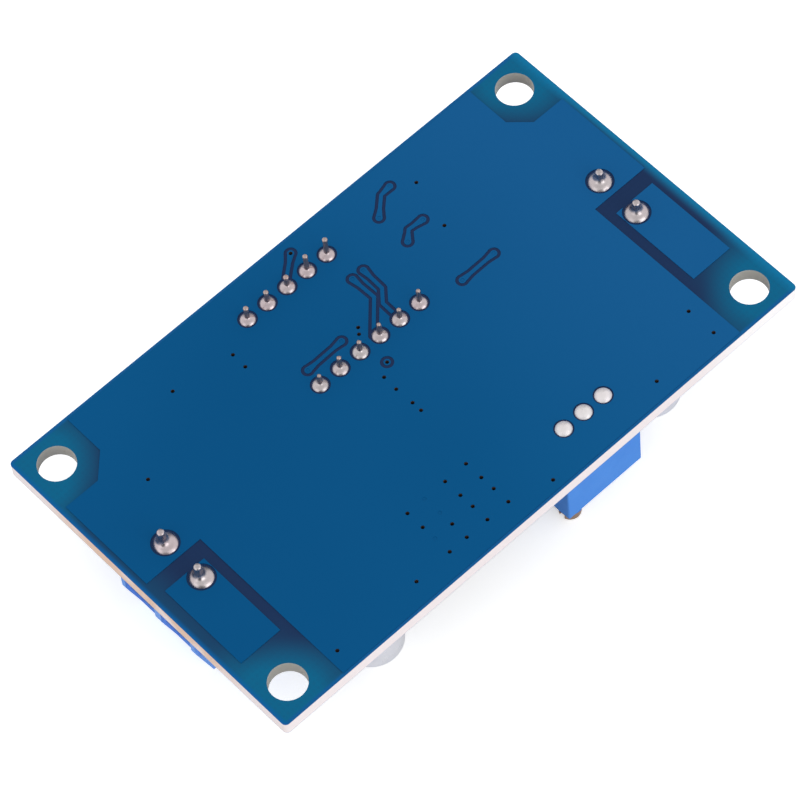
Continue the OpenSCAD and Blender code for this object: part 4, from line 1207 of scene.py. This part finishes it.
@dataclass
class Studio:
    """Floor, light and camera round the module.

    A lamp is its place, its size and its watts. A dimmer is a direction, the span of a ray's part
    along it, and the strengths at that span's ends.
    """

    eye: Place = (-0.134596, -0.176104, 0.383819)
    turn: Four = (0.89446, 0.25435, -0.06913, -0.3612)
    lens: float = 208.405
    sensor: float = 36
    clip: Span = (0.01, 20)
    floor_pivot: Span = (5.1, 1.3)
    floor_slope: float = 0.0658
    floor_reach: float = 2.5
    floor_lift: float = 0.5
    floor_gloss: float = 0.15
    floor_white: float = 0.9
    floor_rough: float = 0.9
    aim: Place = (0, 0, 0.01)
    key: tuple[Place, Span, float] = ((0.06, -0.62, 0.2), (0.5, 0.36), 0.8)
    fill: tuple[Place, Span, float] = ((-0.6, -0.06, 0.22), (0.4, 0.3), 0.15)
    room_light: float = 0.92
    dimmers: tuple[tuple[Place, Span, Span], ...] = (
        ((0, 0, 1), (0.5, 0.85), (1.0, 0.75)),
        ((0.607, 0.794, 0), (0.7, 0.95), (1.0, 0.12)),
        ((0.607, 0.794, 0), (-0.94, -0.8), (0.1, 1.0)))

    def floor(self) -> None:
        """Lays a plain floor under the trimmer's screw and the terminal blocks.

        The module rests on the screw's head and on the far edges of its blocks, so the floor
        leans: z = z0 + slope (y - y0). To the camera it is white where no shadow falls, and metal
        sees it a little dimmer.
        """
        side = np.array([-1.0, 1.0]) * self.floor_reach
        x, y = (v.ravel() for v in np.meshgrid(side, side))
        z = self.floor_pivot[1] * MM + self.floor_slope * (y - self.floor_pivot[0] * MM)
        mesh = bpy.data.meshes.new("floor")
        mesh.from_pydata(np.stack([x, y, z], 1).tolist(), [], [(0, 1, 3, 2)])
        plane = bpy.data.objects.new("floor", mesh)
        bpy.context.scene.collection.objects.link(plane)
        bench = Bench("floor")
        path = bench.add("ShaderNodeLightPath")
        seen, mirrored = (bench.sum("MULTIPLY", path.outputs[way], lift) for way, lift in (
            ("Is Camera Ray", self.floor_lift), ("Is Glossy Ray", self.floor_gloss)))
        mesh.materials.append(bench.settle(
            Base_Color=(self.floor_white,) * 3, Roughness=self.floor_rough, Specular_IOR_Level=0.0,
            Emission_Color=(1.0, 1.0, 1.0), Emission_Strength=bench.sum("ADD", seen, mirrored)))

    def lamp(self, name: str, place: Place, size: Span, watts: float) -> None:
        """Hangs a soft lamp that looks at the module.

        Args:
            name: the lamp's name.
            place: where it hangs.
            size: its width and height.
            watts: its power.
        """
        light = bpy.data.lights.new(name, "AREA")
        light.shape = "RECTANGLE"
        light.size, light.size_y = size
        light.energy = watts
        lamp = bpy.data.objects.new(name, light)
        lamp.location = place
        lamp.rotation_mode = "QUATERNION"
        lamp.rotation_quaternion = (Vector(self.aim) - Vector(place)).to_track_quat("-Z", "Y")
        bpy.context.scene.collection.objects.link(lamp)

    def sky(self) -> None:
        """Gives the room plain light, white walls for what looks past the module, a dim ceiling.

        Reflections see white walls, dimmed by a smooth step of the direction's z, for the ceiling,
        and by two of d = 0.607 x + 0.794 y, far behind the module and straight before it.
        """
        world = bpy.data.worlds.new("room")
        bpy.context.scene.world = world
        world.use_nodes = True
        room = Tree(world.node_tree)
        where = room.add("ShaderNodeTexCoord").outputs["Generated"]
        strength = 1.0
        for way, span, levels in self.dimmers:
            reach = room.add("ShaderNodeVectorMath", {0: where, 1: way}, operation="DOT_PRODUCT")
            level = room.spread(reach.outputs["Value"], span, levels)
            strength = room.sum("MULTIPLY", strength, level)
        light, seen, walls = (
            room.add("ShaderNodeBackground",
                     {"Color": (1.0, 1.0, 1.0), "Strength": value}).outputs[0]
            for value in (self.room_light, strength, 1.0))
        path = room.add("ShaderNodeLightPath").outputs
        mirror = room.add("ShaderNodeMixShader", {0: path["Is Glossy Ray"], 1: light, 2: seen})
        window = room.add("ShaderNodeMixShader",
                          {0: path["Is Camera Ray"], 1: mirror.outputs[0], 2: walls})
        room.add("ShaderNodeOutputWorld", {"Surface": window.outputs[0]})

    def camera(self) -> None:
        """Sets the camera where the photograph was taken from."""
        data = bpy.data.cameras.new("camera")
        data.lens, data.sensor_width = self.lens, self.sensor
        data.clip_start, data.clip_end = self.clip
        eye = bpy.data.objects.new("camera", data)
        eye.rotation_mode = "QUATERNION"
        eye.location, eye.rotation_quaternion = self.eye, Quaternion(self.turn)
        bpy.context.scene.collection.objects.link(eye)
        bpy.context.scene.camera = eye

    def build(self) -> None:
        """Sets up the whole studio."""
        self.camera()
        self.floor()
        self.sky()
        self.lamp("key", *self.key)
        self.lamp("fill", *self.fill)
        bpy.context.scene.view_settings.view_transform = "Standard"


def main() -> None:
    """Builds the module and its studio."""
    logging.basicConfig(level=logging.INFO, format="%(name)s: %(message)s")
    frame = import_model()
    shop = Workshop(frame)
    for group in (Board(shop), SolderJoints(shop), TerminalBlock(shop, End.INPUT),
                  TerminalBlock(shop, End.OUTPUT), Trimmer(shop), Display(shop), Coil(shop),
                  Capacitor(shop, End.INPUT, Part.INPUT_CAN),
                  Capacitor(shop, End.OUTPUT, Part.OUTPUT_CAN), PowerParts(shop),
                  MeterParts(shop)):
        group.build()
        LOG.info("%s built", type(group).__name__)
    Studio().build()
    LOG.info("%d new pieces", shop.made)


if __name__ == "__main__":
    main()
